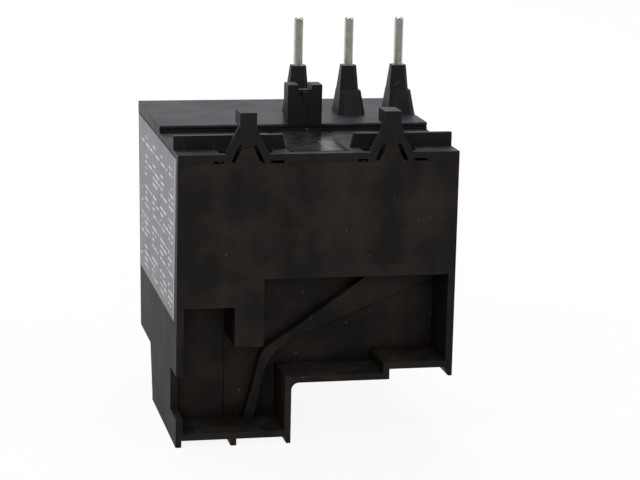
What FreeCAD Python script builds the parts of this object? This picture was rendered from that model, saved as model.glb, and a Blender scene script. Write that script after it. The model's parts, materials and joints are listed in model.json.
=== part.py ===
import FreeCAD, Part
import Sketcher
import math
import os

# Plug-in thermal overload relay, 45 mm module.
# Every sub-part is drawn with x = 0 on the centre plane, y = 0 at the rear face, the front
# towards -Y, and z = 0 at the feet. Its Placement then brings the hook seat down to z = 0.

doc = FreeCAD.newDocument("OverloadRelay")
sheet = doc.addObject("Spreadsheet::Sheet", "dim")

SIZES = [
    ("poles", 3, "number of poles"),
    # housing
    ("width", 45.0, "overall width, one module"),
    ("sideWall", 1.15, "housing side wall"),
    ("rearWall", 1.3, "rear wall and recess floor"),
    ("rim", 1.0, "rim round the rear recess"),
    ("seam", 0.05, "gap between mouldings that meet"),
    ("sideTop", 46.5, "top of the side walls"),
    ("rearTop", 45.65, "top of the rear wall"),
    ("stripDepth", 1.3, "depth of the rear strip"),
    ("bellyHeight", 10.0, "underside at the rear"),
    ("toeHeight", 9.3, "underside at the front"),
    ("stepHeight", 11.7, "raised underside on the right"),
    ("stepAcross", -12.1, "x where the underside steps up"),
    ("frontFoot", 42.4, "depth of the side wall at the underside"),
    ("frontHead", 46.6, "depth of the side wall at its top"),
    ("blockAcross", 3.92, "x of the lower block's inner side"),
    ("blockDepthLow", 27.2, "lower block depth at the feet"),
    ("blockDepthHigh", 30.0, "lower block depth at the underside"),
    ("blockCorner", 1.2, "radius between block and underside"),
    ("footHeight", 1.1, "height of the feet"),
    ("footWide", 0.93, "thickness of a foot"),
    ("midFootAcross", 13.18, "x of the middle foot"),
    ("recessDepth", 9.5, "rear recess"),
    ("recessExtra", 0.4, "extra depth of the left pocket"),
    ("recessTop", 27.15, "top of the wide recess"),
    ("columnLeft", 13.2, "left side of the flush column"),
    ("columnRight", 8.6, "right side of the flush column"),
    ("columnFoot", 16.2, "foot of the flush column"),
    ("pocketTop", 22.65, "top of the left pocket"),
    ("notchLow", 4.6, "cable notch in the left rim, low end"),
    ("notchHigh", 11.7, "cable notch, high end"),
    ("notchDepth", 6.2, "cable notch, depth"),
    ("ridgeDepth", 7.2, "depth of the ridge's rear face"),
    ("ridgeCrest", -12.5, "x where the ridge's upper edge meets the recess's top"),
    ("ridgeDrop", 1.85, "its lower edge at the side wall, under the recess's top"),
    ("poleFloor", 12.8, "floor of the pole chambers"),
    ("blockFloor", 2.3, "floor of the lower block"),
    ("switchFloor", 10.6, "floor of the switch chamber"),
    ("switchAcross", 4.9, "x where the switch chamber starts"),
    ("partition", 0.9, "wall between the poles"),
    ("partitionFront", 34.6, "depth where the pole walls end"),
    ("labelThick", 0.2, "side label and its recess"),
    ("labelLow", 19.9, "lower edge of the label"),
    ("labelHigh", 46.2, "upper edge of the label"),
    # hooks and top moulding
    ("hookAcross", 11.5, "x of a hook from the centre plane"),
    ("hookSeat", 51.5, "underside of the hook heads"),
    ("hookTop", 53.6, "top of the hook heads"),
    ("hookHead", 2.65, "width of a hook head"),
    ("wellHalf", 4.3, "half width of the well in front of a hook's arm"),
    ("wellGap", 0.15, "that well's gap to the arm and the upright wall"),
    ("slitHigh", 0.45, "height of the slits beside a hook"),
    ("hookReach", 4.3, "depth of a hook head"),
    ("hookThick", 1.2, "thickness of the hook arms"),
    ("tabBase", 4.4, "rear wall tab between the arms, base"),
    ("tabCrest", 1.85, "rear wall tab, top"),
    ("tabTop", 48.0, "height of the tab"),
    ("ledgeTop", 47.1, "ledge behind the top plate"),
    ("plateTop", 48.3, "top plate"),
    ("plateRear", 20.5, "depth where the top plate starts"),
    ("plateFront", 47.0, "depth where the top plate ends"),
    ("ledgeWallDepth", 5.0, "depth of the upright wall on the ledge"),
    ("ledgeWallThick", 0.9, "its thickness"),
    ("ledgeWallTop", 49.3, "its height"),
    ("troughLeft", 5.1, "left end of the gap in that wall"),
    ("troughRight", -6.5, "right end of the gap"),
    ("castleAcross", -1.52, "x of the guide post"),
    ("castleWide", 5.76, "width of the guide post"),
    ("castleTop", 54.85, "top of its prongs"),
    ("castleWeb", 53.9, "top of its web"),
    ("castleDepth", 20.1, "depth of its rear face"),
    ("castleThick", 3.4, "depth it takes up"),
    ("prongWide", 1.79, "width of a prong"),
    # poles
    ("pinFirst", -20.2, "x of the first plug pin"),
    ("pinPitch", 8.71, "pin pitch"),
    ("pinDepth", 32.5, "depth of the pins"),
    ("pinRadius", 0.75, "plug pin radius"),
    ("pinTop", 64.5, "tip of the pins"),
    ("shankRadius", 0.95, "pin inside its sleeve"),
    ("pinFit", 0.03, "pin in its sleeve, radial"),
    ("sleeveTop", 56.4, "top of the insulating sleeves"),
    ("sleeveStep", 52.3, "height of the step in the sleeve"),
    ("poleShift", 1.4, "strip centre from its pin"),
    ("barLow", 43.4, "underside of the pin's bar"),
    ("barThick", 0.9, "copper bars"),
    ("barRear", 20.6, "depth where the pin's bar ends"),
    ("stripDepthAt", 22.0, "depth of the bimetal strips"),
    ("stripWide", 4.0, "width of a bimetal strip"),
    ("stripThick", 0.9, "thickness of a bimetal strip"),
    ("stripFoot", 14.5, "lower end of the strips"),
    ("stripTop", 41.6, "upper end of the strips"),
    ("anchorLow", 39.4, "lower edge of the strip's anchor"),
    ("sleeveThick", 0.4, "glass sleeve on the strip"),
    ("sleeveFoot", 21.5, "lower end of the glass sleeve"),
    ("sleeveHead", 37.6, "upper end of the glass sleeve"),
    ("fit", 0.05, "gap between stacked pieces"),
    ("joinBite", 0.3, "how far a form reaches into the one it is joined to"),
    ("cutReach", 1.0, "how far a cut starts outside the surface"),
    ("turns", 9, "turns of heater ribbon"),
    ("ribbonThick", 0.45, "heater ribbon thickness"),
    ("ribbonWide", 1.0, "heater ribbon width"),
    ("windFoot", 22.5, "lowest turn"),
    ("windHead", 36.6, "highest turn"),
    ("terminalPlate", 1.0, "terminal plate thickness"),
    ("terminalDepth", 35.4, "depth of the lower terminal plates"),
    ("terminalHalf", 2.35, "half width of a load terminal"),
    ("terminalLow", 14.6, "lower edge of the terminal plates"),
    ("terminalHigh", 22.2, "upper edge of the terminal plates"),
    ("screwHeight", 18.6, "height of the lower screws"),
    ("screwRadius", 1.7, "screw shank"),
    ("screwFit", 0.05, "screw in its plate, radial"),
    ("headRadius", 2.1, "screw head"),
    ("headThick", 2.1, "screw head thickness"),
    ("shankLong", 5.0, "screw length under the head"),
    ("washerThick", 0.9, "clamp washer thickness"),
    ("washerHalf", 2.25, "clamp washer half width"),
    ("washerGap", 0.3, "gap from plate to washer"),
    ("entryWide", 4.7, "wire entry width"),
    ("entryDeep", 4.6, "wire entry depth"),
    ("entryGap", 0.4, "wire entry from the terminal plate"),
    # front cover
    ("coverGap", 0.1, "cover to side wall"),
    ("coverWall", 1.3, "cover wall"),
    ("coverRear", 41.2, "depth of the cover's rear edge"),
    ("coverStep", 22.6, "underside of the step"),
    ("coverTop", 46.2, "top of the cover"),
    ("coverFront", 52.6, "depth of the cover's face"),
    ("coverChamfer", 1.0, "chamfer round the face"),
    ("panelDepth", 3.0, "control panel recess"),
    ("panelLeft", 18.4, "control panel, x of its left edge"),
    ("panelRight", -17.4, "control panel, x of its right edge"),
    ("panelLow", 32.4, "control panel, lower edge"),
    ("panelHigh", 44.8, "control panel, upper edge"),
    ("driverRadius", 2.7, "screwdriver openings"),
    ("auxAcross", 9.4, "x of the inner auxiliary terminals"),
    ("auxPitch", 7.8, "auxiliary terminal pitch"),
    ("auxHalf", 2.95, "half width of a lower auxiliary plate"),
    ("auxUpperHalf", 2.65, "half width of an upper auxiliary plate"),
    ("auxDepth", 44.2, "depth of the upper terminal plates"),
    ("auxLow", 24.2, "lower edge of the upper plates"),
    ("auxHigh", 30.1, "upper edge of the upper plates"),
    ("auxScrewHeight", 27.2, "height of the upper screws"),
    # controls
    ("dialAcross", -8.5, "x of the setting dial"),
    ("controlHeight", 38.6, "height of dial and buttons"),
    ("dialRadius", 5.2, "setting dial"),
    ("dialThick", 2.2, "thickness of its head"),
    ("dialSlotWide", 1.2, "width of its slot"),
    ("dialSlotDeep", 1.2, "depth of its slot"),
    ("dialSlotHalf", 3.4, "half length of its slot"),
    ("dialLift", 0.2, "gap under its head"),
    ("shaftRadius", 2.2, "dial shaft"),
    ("runFit", 0.05, "running fit, radial"),
    ("camRadius", 3.5, "cam at rest"),
    ("camRise", 0.3, "cam rise either way"),
    ("camThick", 2.2, "cam thickness"),
    ("camDepth", 41.4, "depth of the cam's rear face"),
    ("buttonRadius", 2.2, "push buttons"),
    ("buttonProud", 2.6, "button head above the panel"),
    ("stemRadius", 1.1, "button stem"),
    ("stemRear", 40.6, "depth of the stem's end"),
    ("stopAcross", 0.6, "x of the stop button"),
    ("resetAcross", 6.6, "x of the reset button"),
    ("springCoil", 0.25, "spring wire radius"),
    ("springRadius", 1.55, "spring mean radius"),
    ("springTurns", 2, "spring turns"),
    ("collarThick", 0.9, "button collar"),
    ("doorThick", 1.2, "sealing door thickness"),
    ("doorGap", 0.1, "sealing door to the face"),
    ("hingeRadius", 0.8, "sealing door hinge pins"),
    # mechanism
    ("slideThick", 1.2, "slide thickness"),
    ("slideWide", 6.6, "slide width"),
    ("tripSlideLow", 17.0, "underside of the trip slide"),
    ("evenSlideLow", 15.2, "underside of the differential slide"),
    ("slideFit", 0.15, "slide finger to strip"),
    ("slideEnd", 5.2, "x of the slides' pushing end"),
    ("leverPinAcross", 8.0, "x of the setting lever's pin"),
    ("leverPinHeight", 42.8, "height of the setting lever's pin"),
    ("leverPinRadius", 0.8, "setting lever pin"),
    ("leverHub", 1.6, "setting lever hub"),
    ("leverArm", 1.5, "setting lever arm thickness"),
    ("leverRear", 19.5, "depth of the lever's rear end"),
    ("compAcross", 6.4, "x of the compensation strip"),
    ("compHeight", 36.6, "height of its pivot"),
    ("compPin", 0.7, "its pivot pin radius"),
    ("compHub", 1.2, "its hub radius"),
    ("compFoot", 14.6, "its lower end"),
    ("compThick", 0.8, "its thickness"),
    ("tripPinAcross", 14.5, "x of the trip lever's pin"),
    ("tripPinHeight", 31.0, "height of the trip lever's pin"),
    ("tripPinRadius", 1.0, "trip lever pin"),
    ("tripHub", 2.2, "trip lever hub"),
    ("tripRear", 19.5, "depth of the hub's rear end"),
    ("tripFront", 28.0, "depth of the hub's front end"),
    ("tripTipHeight", 20.6, "height of the lever's lower tip"),
    ("tripTipGap", 0.5, "lower tip to the compensation strip"),
    ("fingerLow", 36.0, "lower edge of the lever's finger"),
    ("fingerHigh", 39.6, "upper edge of the finger"),
    ("fingerHalf", 1.4, "half width of the finger"),
    ("frameDepth", 38.1, "depth of the mechanism frame"),
    ("frameThick", 1.2, "its thickness"),
    ("frameLow", 29.8, "its lower edge"),
    ("frameHigh", 45.2, "its upper edge"),
    ("postRadius", 2.0, "pivot posts"),
    ("postDepth", 19.2, "depth of the posts' ends"),
    ("postBore", 2.5, "depth of their bores"),
    ("bladeThick", 0.3, "contact blades"),
    ("bladeWide", 3.6, "width of a contact blade"),
    ("bladeDepth", 30.0, "depth of the blades' rear edge"),
    ("bladeFoot", 23.4, "lower end of the blades"),
    ("bladeTop", 43.6, "upper end of the blades"),
    ("bladeGap", 0.3, "blade to the lever's finger"),
    ("tailThick", 0.6, "contact strips"),
    ("contactHeight", 42.0, "height of the contact rivets"),
    ("contactRadius", 1.1, "contact rivets"),
    ("contactThick", 0.35, "head of a moving contact"),
    ("contactGap", 1.5, "open contact gap"),
]


def fill_sheet():
    for row, (alias, value, note) in enumerate(SIZES, start=1):
        sheet.set(f"A{row}", note)
        sheet.set(f"B{row}", str(value))
        sheet.setAlias(f"B{row}", alias)
    doc.recompute()


fill_sheet()
parts = []
drop = "-dim.hookSeat"
half = "dim.width/2"
inner = "(dim.width/2 - dim.sideWall)"
recessWall = "(dim.recessDepth + dim.recessExtra + dim.rearWall)"


# ---- helpers -------------------------------------------------------------------------------

def new_body(name):
    part = doc.addObject("PartDesign::Body", name)
    part.setExpression("Placement.Base.z", drop)
    parts.append(part)
    return part


def keep(shape, name):
    shape.Label = name
    shape.setExpression("Placement.Base.z", drop)
    parts.append(shape)
    return shape


def origin_part(part, role):
    for feature in part.Origin.OriginFeatures:
        if feature.Role == role:
            return feature
    raise ValueError(role)


def pin_corner(sketch, line, across, up):
    for kind, expression in (("DistanceX", across), ("DistanceY", up)):
        start = sketch.Geometry[line].StartPoint
        value = start.x if kind == "DistanceX" else start.y
        index = sketch.addConstraint(Sketcher.Constraint(kind, -1, 1, line, 1, value))
        sketch.setExpression(f"Constraints[{index}]", expression)


def add_loop(sketch, corners):
    """A closed loop of straight lines; each corner is held by two expressions."""
    first = sketch.GeometryCount
    count = len(corners)
    spots = []
    for i in range(count):
        turn = 2 * math.pi * i / count
        spots.append(FreeCAD.Vector(10 * math.cos(turn), 10 * math.sin(turn), 0))
    for i in range(count):
        sketch.addGeometry(Part.LineSegment(spots[i], spots[(i + 1) % count]), False)
    for i in range(count):
        sketch.addConstraint(Sketcher.Constraint("Coincident", first + i, 2, first + (i + 1) % count, 1))
    for i in range(count):
        pin_corner(sketch, first + i, corners[i][0], corners[i][1])


def add_circle(sketch, across, up, radius):
    index = sketch.addGeometry(Part.Circle(FreeCAD.Vector(1, 1, 0), FreeCAD.Vector(0, 0, 1), 1), False)
    for kind, expression in (("DistanceX", across), ("DistanceY", up)):
        held = sketch.addConstraint(Sketcher.Constraint(kind, -1, 1, index, 3, 1.0))
        sketch.setExpression(f"Constraints[{held}]", expression)
    held = sketch.addConstraint(Sketcher.Constraint("Radius", index, 1.0))
    sketch.setExpression(f"Constraints[{held}]", radius)


def draw(part, role, level, loops=(), circles=()):
    """A sketch on one of the body's planes, moved along its normal by level.
    XZ_Plane looks from behind (level is a depth), YZ_Plane from the left (level is an x)."""
    sketch = part.newObject("Sketcher::SketchObject", part.Name + "_sketch")
    sketch.AttachmentSupport = [(origin_part(part, role), "")]
    sketch.MapMode = "FlatFace"
    sketch.setExpression("AttachmentOffset.Base.z", level)
    for corners in loops:
        add_loop(sketch, corners)
    for across, up, radius in circles:
        add_circle(sketch, across, up, radius)
    return sketch


def rect(low, high):
    return [(low[0], low[1]), (high[0], low[1]), (high[0], high[1]), (low[0], high[1])]


def pad(part, sketch, length):
    feature = part.newObject("PartDesign::Pad", part.Name + "_pad")
    feature.Profile = sketch
    feature.setExpression("Length", length)
    return feature


def pocket(part, sketch, length):
    """Cuts along the sketch's own normal, and stops the build if it cut nothing."""
    doc.recompute()
    before = part.Shape.Volume
    feature = part.newObject("PartDesign::Pocket", part.Name + "_pocket")
    feature.Profile = sketch
    feature.Reversed = True
    feature.setExpression("Length", length)
    doc.recompute()
    if part.Shape.Volume >= before:
        raise ValueError(f"{part.Name}: a pocket cuts nothing")
    return feature


def box(name, across, depth, up):
    """A block; across, depth and up are (low, high) pairs of expressions, depth towards -Y."""
    block = doc.addObject("Part::Box", name)
    block.setExpression("Length", f"({across[1]}) - ({across[0]})")
    block.setExpression("Width", f"({depth[1]}) - ({depth[0]})")
    block.setExpression("Height", f"({up[1]}) - ({up[0]})")
    block.setExpression("Placement.Base.x", across[0])
    block.setExpression("Placement.Base.y", f"-({depth[1]})")
    block.setExpression("Placement.Base.z", up[0])
    return block


def rod(name, across, up, depth, radius):
    """A round rod that runs front to back."""
    bar = doc.addObject("Part::Cylinder", name)
    bar.Placement = FreeCAD.Placement(FreeCAD.Vector(), FreeCAD.Rotation(FreeCAD.Vector(1, 0, 0), 90))
    bar.setExpression("Radius", radius)
    bar.setExpression("Height", f"({depth[1]}) - ({depth[0]})")
    bar.setExpression("Placement.Base.x", across)
    bar.setExpression("Placement.Base.y", f"-({depth[0]})")
    bar.setExpression("Placement.Base.z", up)
    return bar


def taper(name, across, up, depth, near, far):
    """A round taper that runs front to back, near and far are its radii at the two depths."""
    cone = doc.addObject("Part::Cone", name)
    cone.Placement = FreeCAD.Placement(FreeCAD.Vector(), FreeCAD.Rotation(FreeCAD.Vector(1, 0, 0), 90))
    cone.setExpression("Radius1", near)
    cone.setExpression("Radius2", far)
    cone.setExpression("Height", f"({depth[1]}) - ({depth[0]})")
    cone.setExpression("Placement.Base.x", across)
    cone.setExpression("Placement.Base.y", f"-({depth[0]})")
    cone.setExpression("Placement.Base.z", up)
    return cone


def stud(name, across, up, span, radius):
    """A round stud along X, span is its (low, high) x; up is (depth, height)."""
    bar = doc.addObject("Part::Cylinder", name)
    bar.Placement = FreeCAD.Placement(FreeCAD.Vector(), FreeCAD.Rotation(FreeCAD.Vector(0, 1, 0), 90))
    bar.setExpression("Radius", radius)
    bar.setExpression("Height", f"({span[1]}) - ({span[0]})")
    bar.setExpression("Placement.Base.x", span[0])
    bar.setExpression("Placement.Base.y", f"-({across})")
    bar.setExpression("Placement.Base.z", up)
    return bar


def fuse(name, shapes):
    joined = doc.addObject("Part::MultiFuse", name)
    joined.Shapes = shapes
    joined.Refine = True
    return joined


def cut(name, base, tools):
    result = doc.addObject("Part::Cut", name)
    result.Base = base
    result.Tool = tools[0] if len(tools) == 1 else fuse(name + "_tools", tools)
    return result


def group(name, shapes):
    whole = doc.addObject("Part::Compound", name)
    whole.Links = shapes
    return whole


def pin_x(index):
    return f"(dim.pinFirst + {index}*dim.pinPitch)"


def strip_x(index):
    return f"(dim.pinFirst + {index}*dim.pinPitch + dim.poleShift)"


def aux_x(column):
    return f"(dim.auxAcross + {column}*dim.auxPitch)"


def hook_x(side):
    return f"({side}*dim.hookAcross)"


POLES = range(int(sheet.poles))
AUX = range(2)
SIDES = (1, -1)
CAM_HALF = 150
CAM_STEP = 15

# the ridge's corners: mm towards the side wall from the lower block's inner edge, mm under the recess's top
RIDGE_UPPER = ((-2.6, 9.45), (3.1, 13.25), (4.0, 14.95), (4.85, 18.95), (5.8, 22.25))
RIDGE_LOWER = ((4.16, 22.25), (3.7, 19.45), (3.25, 17.65), (2.42, 15.2), (1.3, 13.85), (-1.81, 11.7), (-13.24, 6.8))
RIDGE_FOOT = (6.5, 4.9)

# a hook's arm: mm from its middle, and mm over the named level, round the outline
HOOK_ARM = (("-3.5", "rearTop", 0.2), ("-3.5", "ledgeTop", 0.1), ("-2.1", "hookSeat", -2),
            ("-dim.hookHead/2", "hookSeat", 0.1), ("dim.hookHead/2", "hookSeat", 0.1),
            ("3.4", "ledgeTop", 0.3), ("3.8", "rearTop", 0.2))
# one half of a hook's neck: mm inward from the head's edge, and mm over the hook's seat
NECK = ((0, 0.1), (0, -1.4), (0.7, -2))
# one half of the slot round a spring tab: mm outside the tab's edge, and mm over the named level
TAB_SLOT = (("dim.tabCrest/2", -0.1, "tabTop", 0.25), ("dim.tabCrest/2", 0.3, "tabTop", 0.6),
            ("dim.tabCrest/2", 0.65, "tabTop", 0.2), ("dim.tabBase/2", 0.7, "rearTop", -0.3))
# the slits beside each hook, mm from its middle
SLITS = ((3.8, 5.4), (-5.8, -3.5))

PANEL_FLOOR = "(dim.coverFront - dim.panelDepth)"
PANEL_UNDER = "(dim.coverFront - dim.panelDepth - dim.coverWall)"


# ---- mouldings -----------------------------------------------------------------------------

def housing_outside(part):
    side = draw(part, "YZ_Plane", f"-{half}", [[
        ("0", "dim.bellyHeight"), ("-dim.blockDepthHigh", "dim.toeHeight"),
        ("-dim.frontFoot", "dim.toeHeight"), ("-dim.frontHead", "dim.sideTop"),
        ("-dim.stripDepth", "dim.sideTop"), ("-dim.stripDepth", "dim.rearTop"),
        ("0", "dim.rearTop")]])
    pad(part, side, "dim.width")
    below = "dim.toeHeight - 1"
    step = draw(part, "XZ_Plane", "-1", [rect((f"-{half} - 1", below), ("dim.stepAcross", "dim.stepHeight"))])
    pocket(part, step, "dim.frontHead + 2")
    block = draw(part, "YZ_Plane", "dim.blockAcross", [[
        ("0", "dim.footHeight"), ("-dim.blockDepthLow", "dim.footHeight"),
        ("-dim.blockDepthHigh", "dim.toeHeight"), ("-dim.blockDepthHigh", "dim.bellyHeight + 1"),
        ("0", "dim.bellyHeight + 1")]])
    pad(part, block, f"{half} - dim.blockAcross")
    bite = "dim.joinBite"
    corner = [(f"dim.blockAcross + {bite}", f"dim.bellyHeight + {bite}"),
              (f"dim.blockAcross + {bite}", "dim.bellyHeight - dim.blockCorner")]
    for step_angle in range(0, 91, 15):
        corner.append((f"dim.blockAcross - dim.blockCorner*(1 - cos({step_angle}))",
                       f"dim.bellyHeight - dim.blockCorner*(1 - sin({step_angle}))"))
    corner.append(("dim.blockAcross - dim.blockCorner", f"dim.bellyHeight + {bite}"))
    gusset = draw(part, "XZ_Plane", "0", [corner])
    pad(part, gusset, "dim.blockDepthLow")
    overlap = "dim.footHeight + dim.joinBite"
    feet = draw(part, "XZ_Plane", "0", [
        rect((f"{half} - dim.footWide", "0"), (half, overlap)),
        rect(("dim.midFootAcross - dim.footWide/2", "0"), ("dim.midFootAcross + dim.footWide/2", overlap)),
        [("dim.blockAcross", "0"), ("dim.blockAcross + 0.7", "0"),
         ("dim.blockAcross + dim.footHeight", overlap), ("dim.blockAcross", overlap)],
        [(f"-{half}", "dim.stepHeight - 1.45"), (f"-{half} + 0.65", "dim.stepHeight - 1.45"),
         (f"-{half} + 1.5", "dim.stepHeight + 0.3"), (f"-{half}", "dim.stepHeight + 0.3")]])
    pad(part, feet, "dim.blockDepthLow")


def housing_inside(part):
    wall = recessWall
    chamber = draw(part, "YZ_Plane", f"-{inner}", [[
        ("-dim.rearWall", "dim.recessTop + dim.rearWall"), ("-dim.rearWall", "dim.sideTop + 1"),
        ("-dim.frontHead - 2", "dim.sideTop + 1"), ("-dim.frontHead - 2", "dim.poleFloor"),
        (f"-{wall}", "dim.poleFloor"), (f"-{wall}", "dim.recessTop + dim.rearWall")]])
    pocket(part, chamber, f"2*{inner}")
    lower = draw(part, "YZ_Plane", "dim.switchAcross", [[
        (f"-{wall}", "dim.blockFloor"), ("-dim.blockDepthLow + dim.rearWall", "dim.blockFloor"),
        ("-dim.blockDepthHigh + dim.rearWall", "dim.switchFloor"),
        ("-dim.frontHead - 2", "dim.switchFloor"), ("-dim.frontHead - 2", "dim.poleFloor + 1"),
        (f"-{wall}", "dim.poleFloor + 1")]])
    pocket(part, lower, f"{inner} - dim.switchAcross")
    front = "-dim.partitionFront"
    back = f"-{wall} + 0.5"
    window = [
        ("-dim.stripDepthAt - dim.slideWide/2 - 0.3", "dim.evenSlideLow - 0.5"),
        ("-dim.stripDepthAt + dim.slideWide/2 + 0.3", "dim.tripSlideLow + dim.slideThick + 0.5")]
    shape = rect((front, "dim.poleFloor - 0.5"), (back, "dim.sideTop - 0.6"))
    opening = rect(window[0], window[1])
    for index in range(len(POLES) - 1):
        middle = f"{strip_x(index)} + dim.pinPitch/2 - dim.partition/2"
        wall_sketch = draw(part, "YZ_Plane", middle, [shape, opening])
        pad(part, wall_sketch, "dim.partition")
    barrier = draw(part, "YZ_Plane", "dim.switchAcross - 1.5", [shape, opening])
    pad(part, barrier, "1.5")
    shelf = ("-dim.terminalDepth + 0.2 + dim.fit", "-dim.terminalDepth + 4.4")
    seats = [(strip_x(i), "dim.terminalHalf") for i in POLES] + [(aux_x(c), "dim.auxHalf") for c in AUX]
    shelves = draw(part, "XY_Plane", "dim.switchFloor - 0.3", [
        rect((f"{x} - {reach}", shelf[0]), (f"{x} + {reach}", shelf[1])) for x, reach in seats])
    pad(part, shelves, "dim.screwHeight - dim.screwRadius - 1.3 - dim.switchFloor + 0.3")
    posts = [("dim.leverPinAcross", "dim.leverPinHeight"), ("dim.tripPinAcross", "dim.tripPinHeight")]
    post = draw(part, "XZ_Plane", "dim.rearWall - 0.3", circles=[(x, z, "dim.postRadius") for x, z in posts])
    pad(part, post, "dim.postDepth - dim.rearWall + 0.3")
    bores = draw(part, "XZ_Plane", "dim.postDepth - dim.postBore", circles=[
        (*posts[0], "dim.leverPinRadius + dim.pinFit"), (*posts[1], "dim.tripPinRadius + dim.pinFit")])
    pocket(part, bores, "dim.postBore + 1")


def housing_rear(part):
    floor = "dim.footHeight + dim.rim"
    left = draw(part, "XZ_Plane", "-1", [rect(
        ("dim.columnLeft", floor), (inner, "dim.pocketTop"))])
    pocket(part, left, "dim.recessDepth + dim.recessExtra + 1")
    wide = draw(part, "XZ_Plane", "-1", [[
        ("dim.columnLeft + 0.01", floor), ("dim.columnLeft + 0.01", "dim.columnFoot"),
        ("dim.columnRight", "dim.columnFoot"), ("dim.columnRight", "dim.recessTop"),
        (f"-{inner}", "dim.recessTop"), (f"-{inner}", "dim.stepHeight + dim.rim"),
        ("dim.stepAcross + dim.rim", "dim.stepHeight + dim.rim"),
        ("dim.stepAcross + dim.rim", "dim.bellyHeight + dim.rim"),
        ("dim.blockAcross + dim.rim", "dim.bellyHeight + dim.rim"),
        ("dim.blockAcross + dim.rim", floor)]])
    pocket(part, wide, "dim.recessDepth + 1")
    notch = draw(part, "YZ_Plane", f"{inner} - 0.5", [rect(
        ("-dim.notchDepth", "dim.notchLow"), ("1", "dim.notchHigh"))])
    pocket(part, notch, "dim.sideWall + 1")
    beyond = ("dim.recessTop + dim.joinBite", f"{floor} - dim.joinBite")
    corners = [("dim.ridgeCrest", beyond[0])]
    corners += [(f"dim.blockAcross + {x}", f"dim.recessTop - {drop}") for x, drop in RIDGE_UPPER]
    corners += [(f"dim.blockAcross + {RIDGE_FOOT[0]}", beyond[1]), (f"dim.blockAcross + {RIDGE_FOOT[1]}", beyond[1])]
    corners += [(f"dim.blockAcross + {x}", f"dim.recessTop - {drop}") for x, drop in RIDGE_LOWER]
    corners += [(f"-{inner} - dim.joinBite", "dim.recessTop - dim.ridgeDrop"), (f"-{inner} - dim.joinBite", beyond[0])]
    ridge = draw(part, "XZ_Plane", "dim.ridgeDepth", [corners])
    pad(part, ridge, "dim.recessDepth - dim.ridgeDepth + dim.joinBite")


def housing_details(part):
    tabs = []
    for side in SIDES:
        x = hook_x(side)
        tabs.append([
            (f"{x} - dim.tabBase/2", "dim.rearTop - 0.3"), (f"{x} + dim.tabBase/2", "dim.rearTop - 0.3"),
            (f"{x} + dim.tabCrest/2", "dim.tabTop"), (f"{x} - dim.tabCrest/2", "dim.tabTop")])
    tab = draw(part, "XZ_Plane", "0", tabs)
    pad(part, tab, "dim.stripDepth - 0.1")
    near = "-dim.terminalDepth - dim.terminalPlate - dim.entryGap"
    far = f"{near} - dim.entryDeep"
    entries = []
    for x in [strip_x(i) for i in POLES] + [aux_x(c) for c in AUX]:
        entries.append(rect((f"{x} - dim.entryWide/2", far), (f"{x} + dim.entryWide/2", near)))
    floor_cut = draw(part, "XY_Plane", "dim.toeHeight - 1", entries)
    pocket(part, floor_cut, "dim.poleFloor - dim.toeHeight + 2")
    slope = "(dim.frontHead - dim.frontFoot)/(dim.sideTop - dim.toeHeight)"
    low_front = f"-(dim.frontFoot + (dim.labelLow - dim.toeHeight)*{slope} - 0.4)"
    high_front = f"-(dim.frontFoot + (dim.labelHigh - dim.toeHeight)*{slope} - 0.4)"
    label = draw(part, "YZ_Plane", f"{half} - dim.labelThick - dim.seam/2", [[
        (low_front, "dim.labelLow"), (high_front, "dim.labelHigh"),
        ("-dim.stripDepth - 0.2", "dim.labelHigh"), ("-dim.stripDepth - 1.7", "dim.labelLow")]])
    pocket(part, label, "dim.labelThick + 1")


def make_housing():
    part = new_body("main_housing")
    housing_outside(part)
    housing_inside(part)
    housing_rear(part)
    housing_details(part)


def make_label():
    part = new_body("side_label")
    gap = "dim.fit"
    slope = "(dim.frontHead - dim.frontFoot)/(dim.sideTop - dim.toeHeight)"
    low_front = f"-(dim.frontFoot + (dim.labelLow - dim.toeHeight)*{slope} - 0.4) + {gap}"
    high_front = f"-(dim.frontFoot + (dim.labelHigh - dim.toeHeight)*{slope} - 0.4) + {gap}"
    sheet_face = draw(part, "YZ_Plane", f"{half} - dim.labelThick", [[
        (low_front, f"dim.labelLow + {gap}"), (high_front, f"dim.labelHigh - {gap}"),
        (f"-dim.stripDepth - 0.2 - {gap}", f"dim.labelHigh - {gap}"),
        (f"-dim.stripDepth - 1.7 - {gap}", f"dim.labelLow + {gap}")]])
    pad(part, sheet_face, "dim.labelThick")


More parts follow.
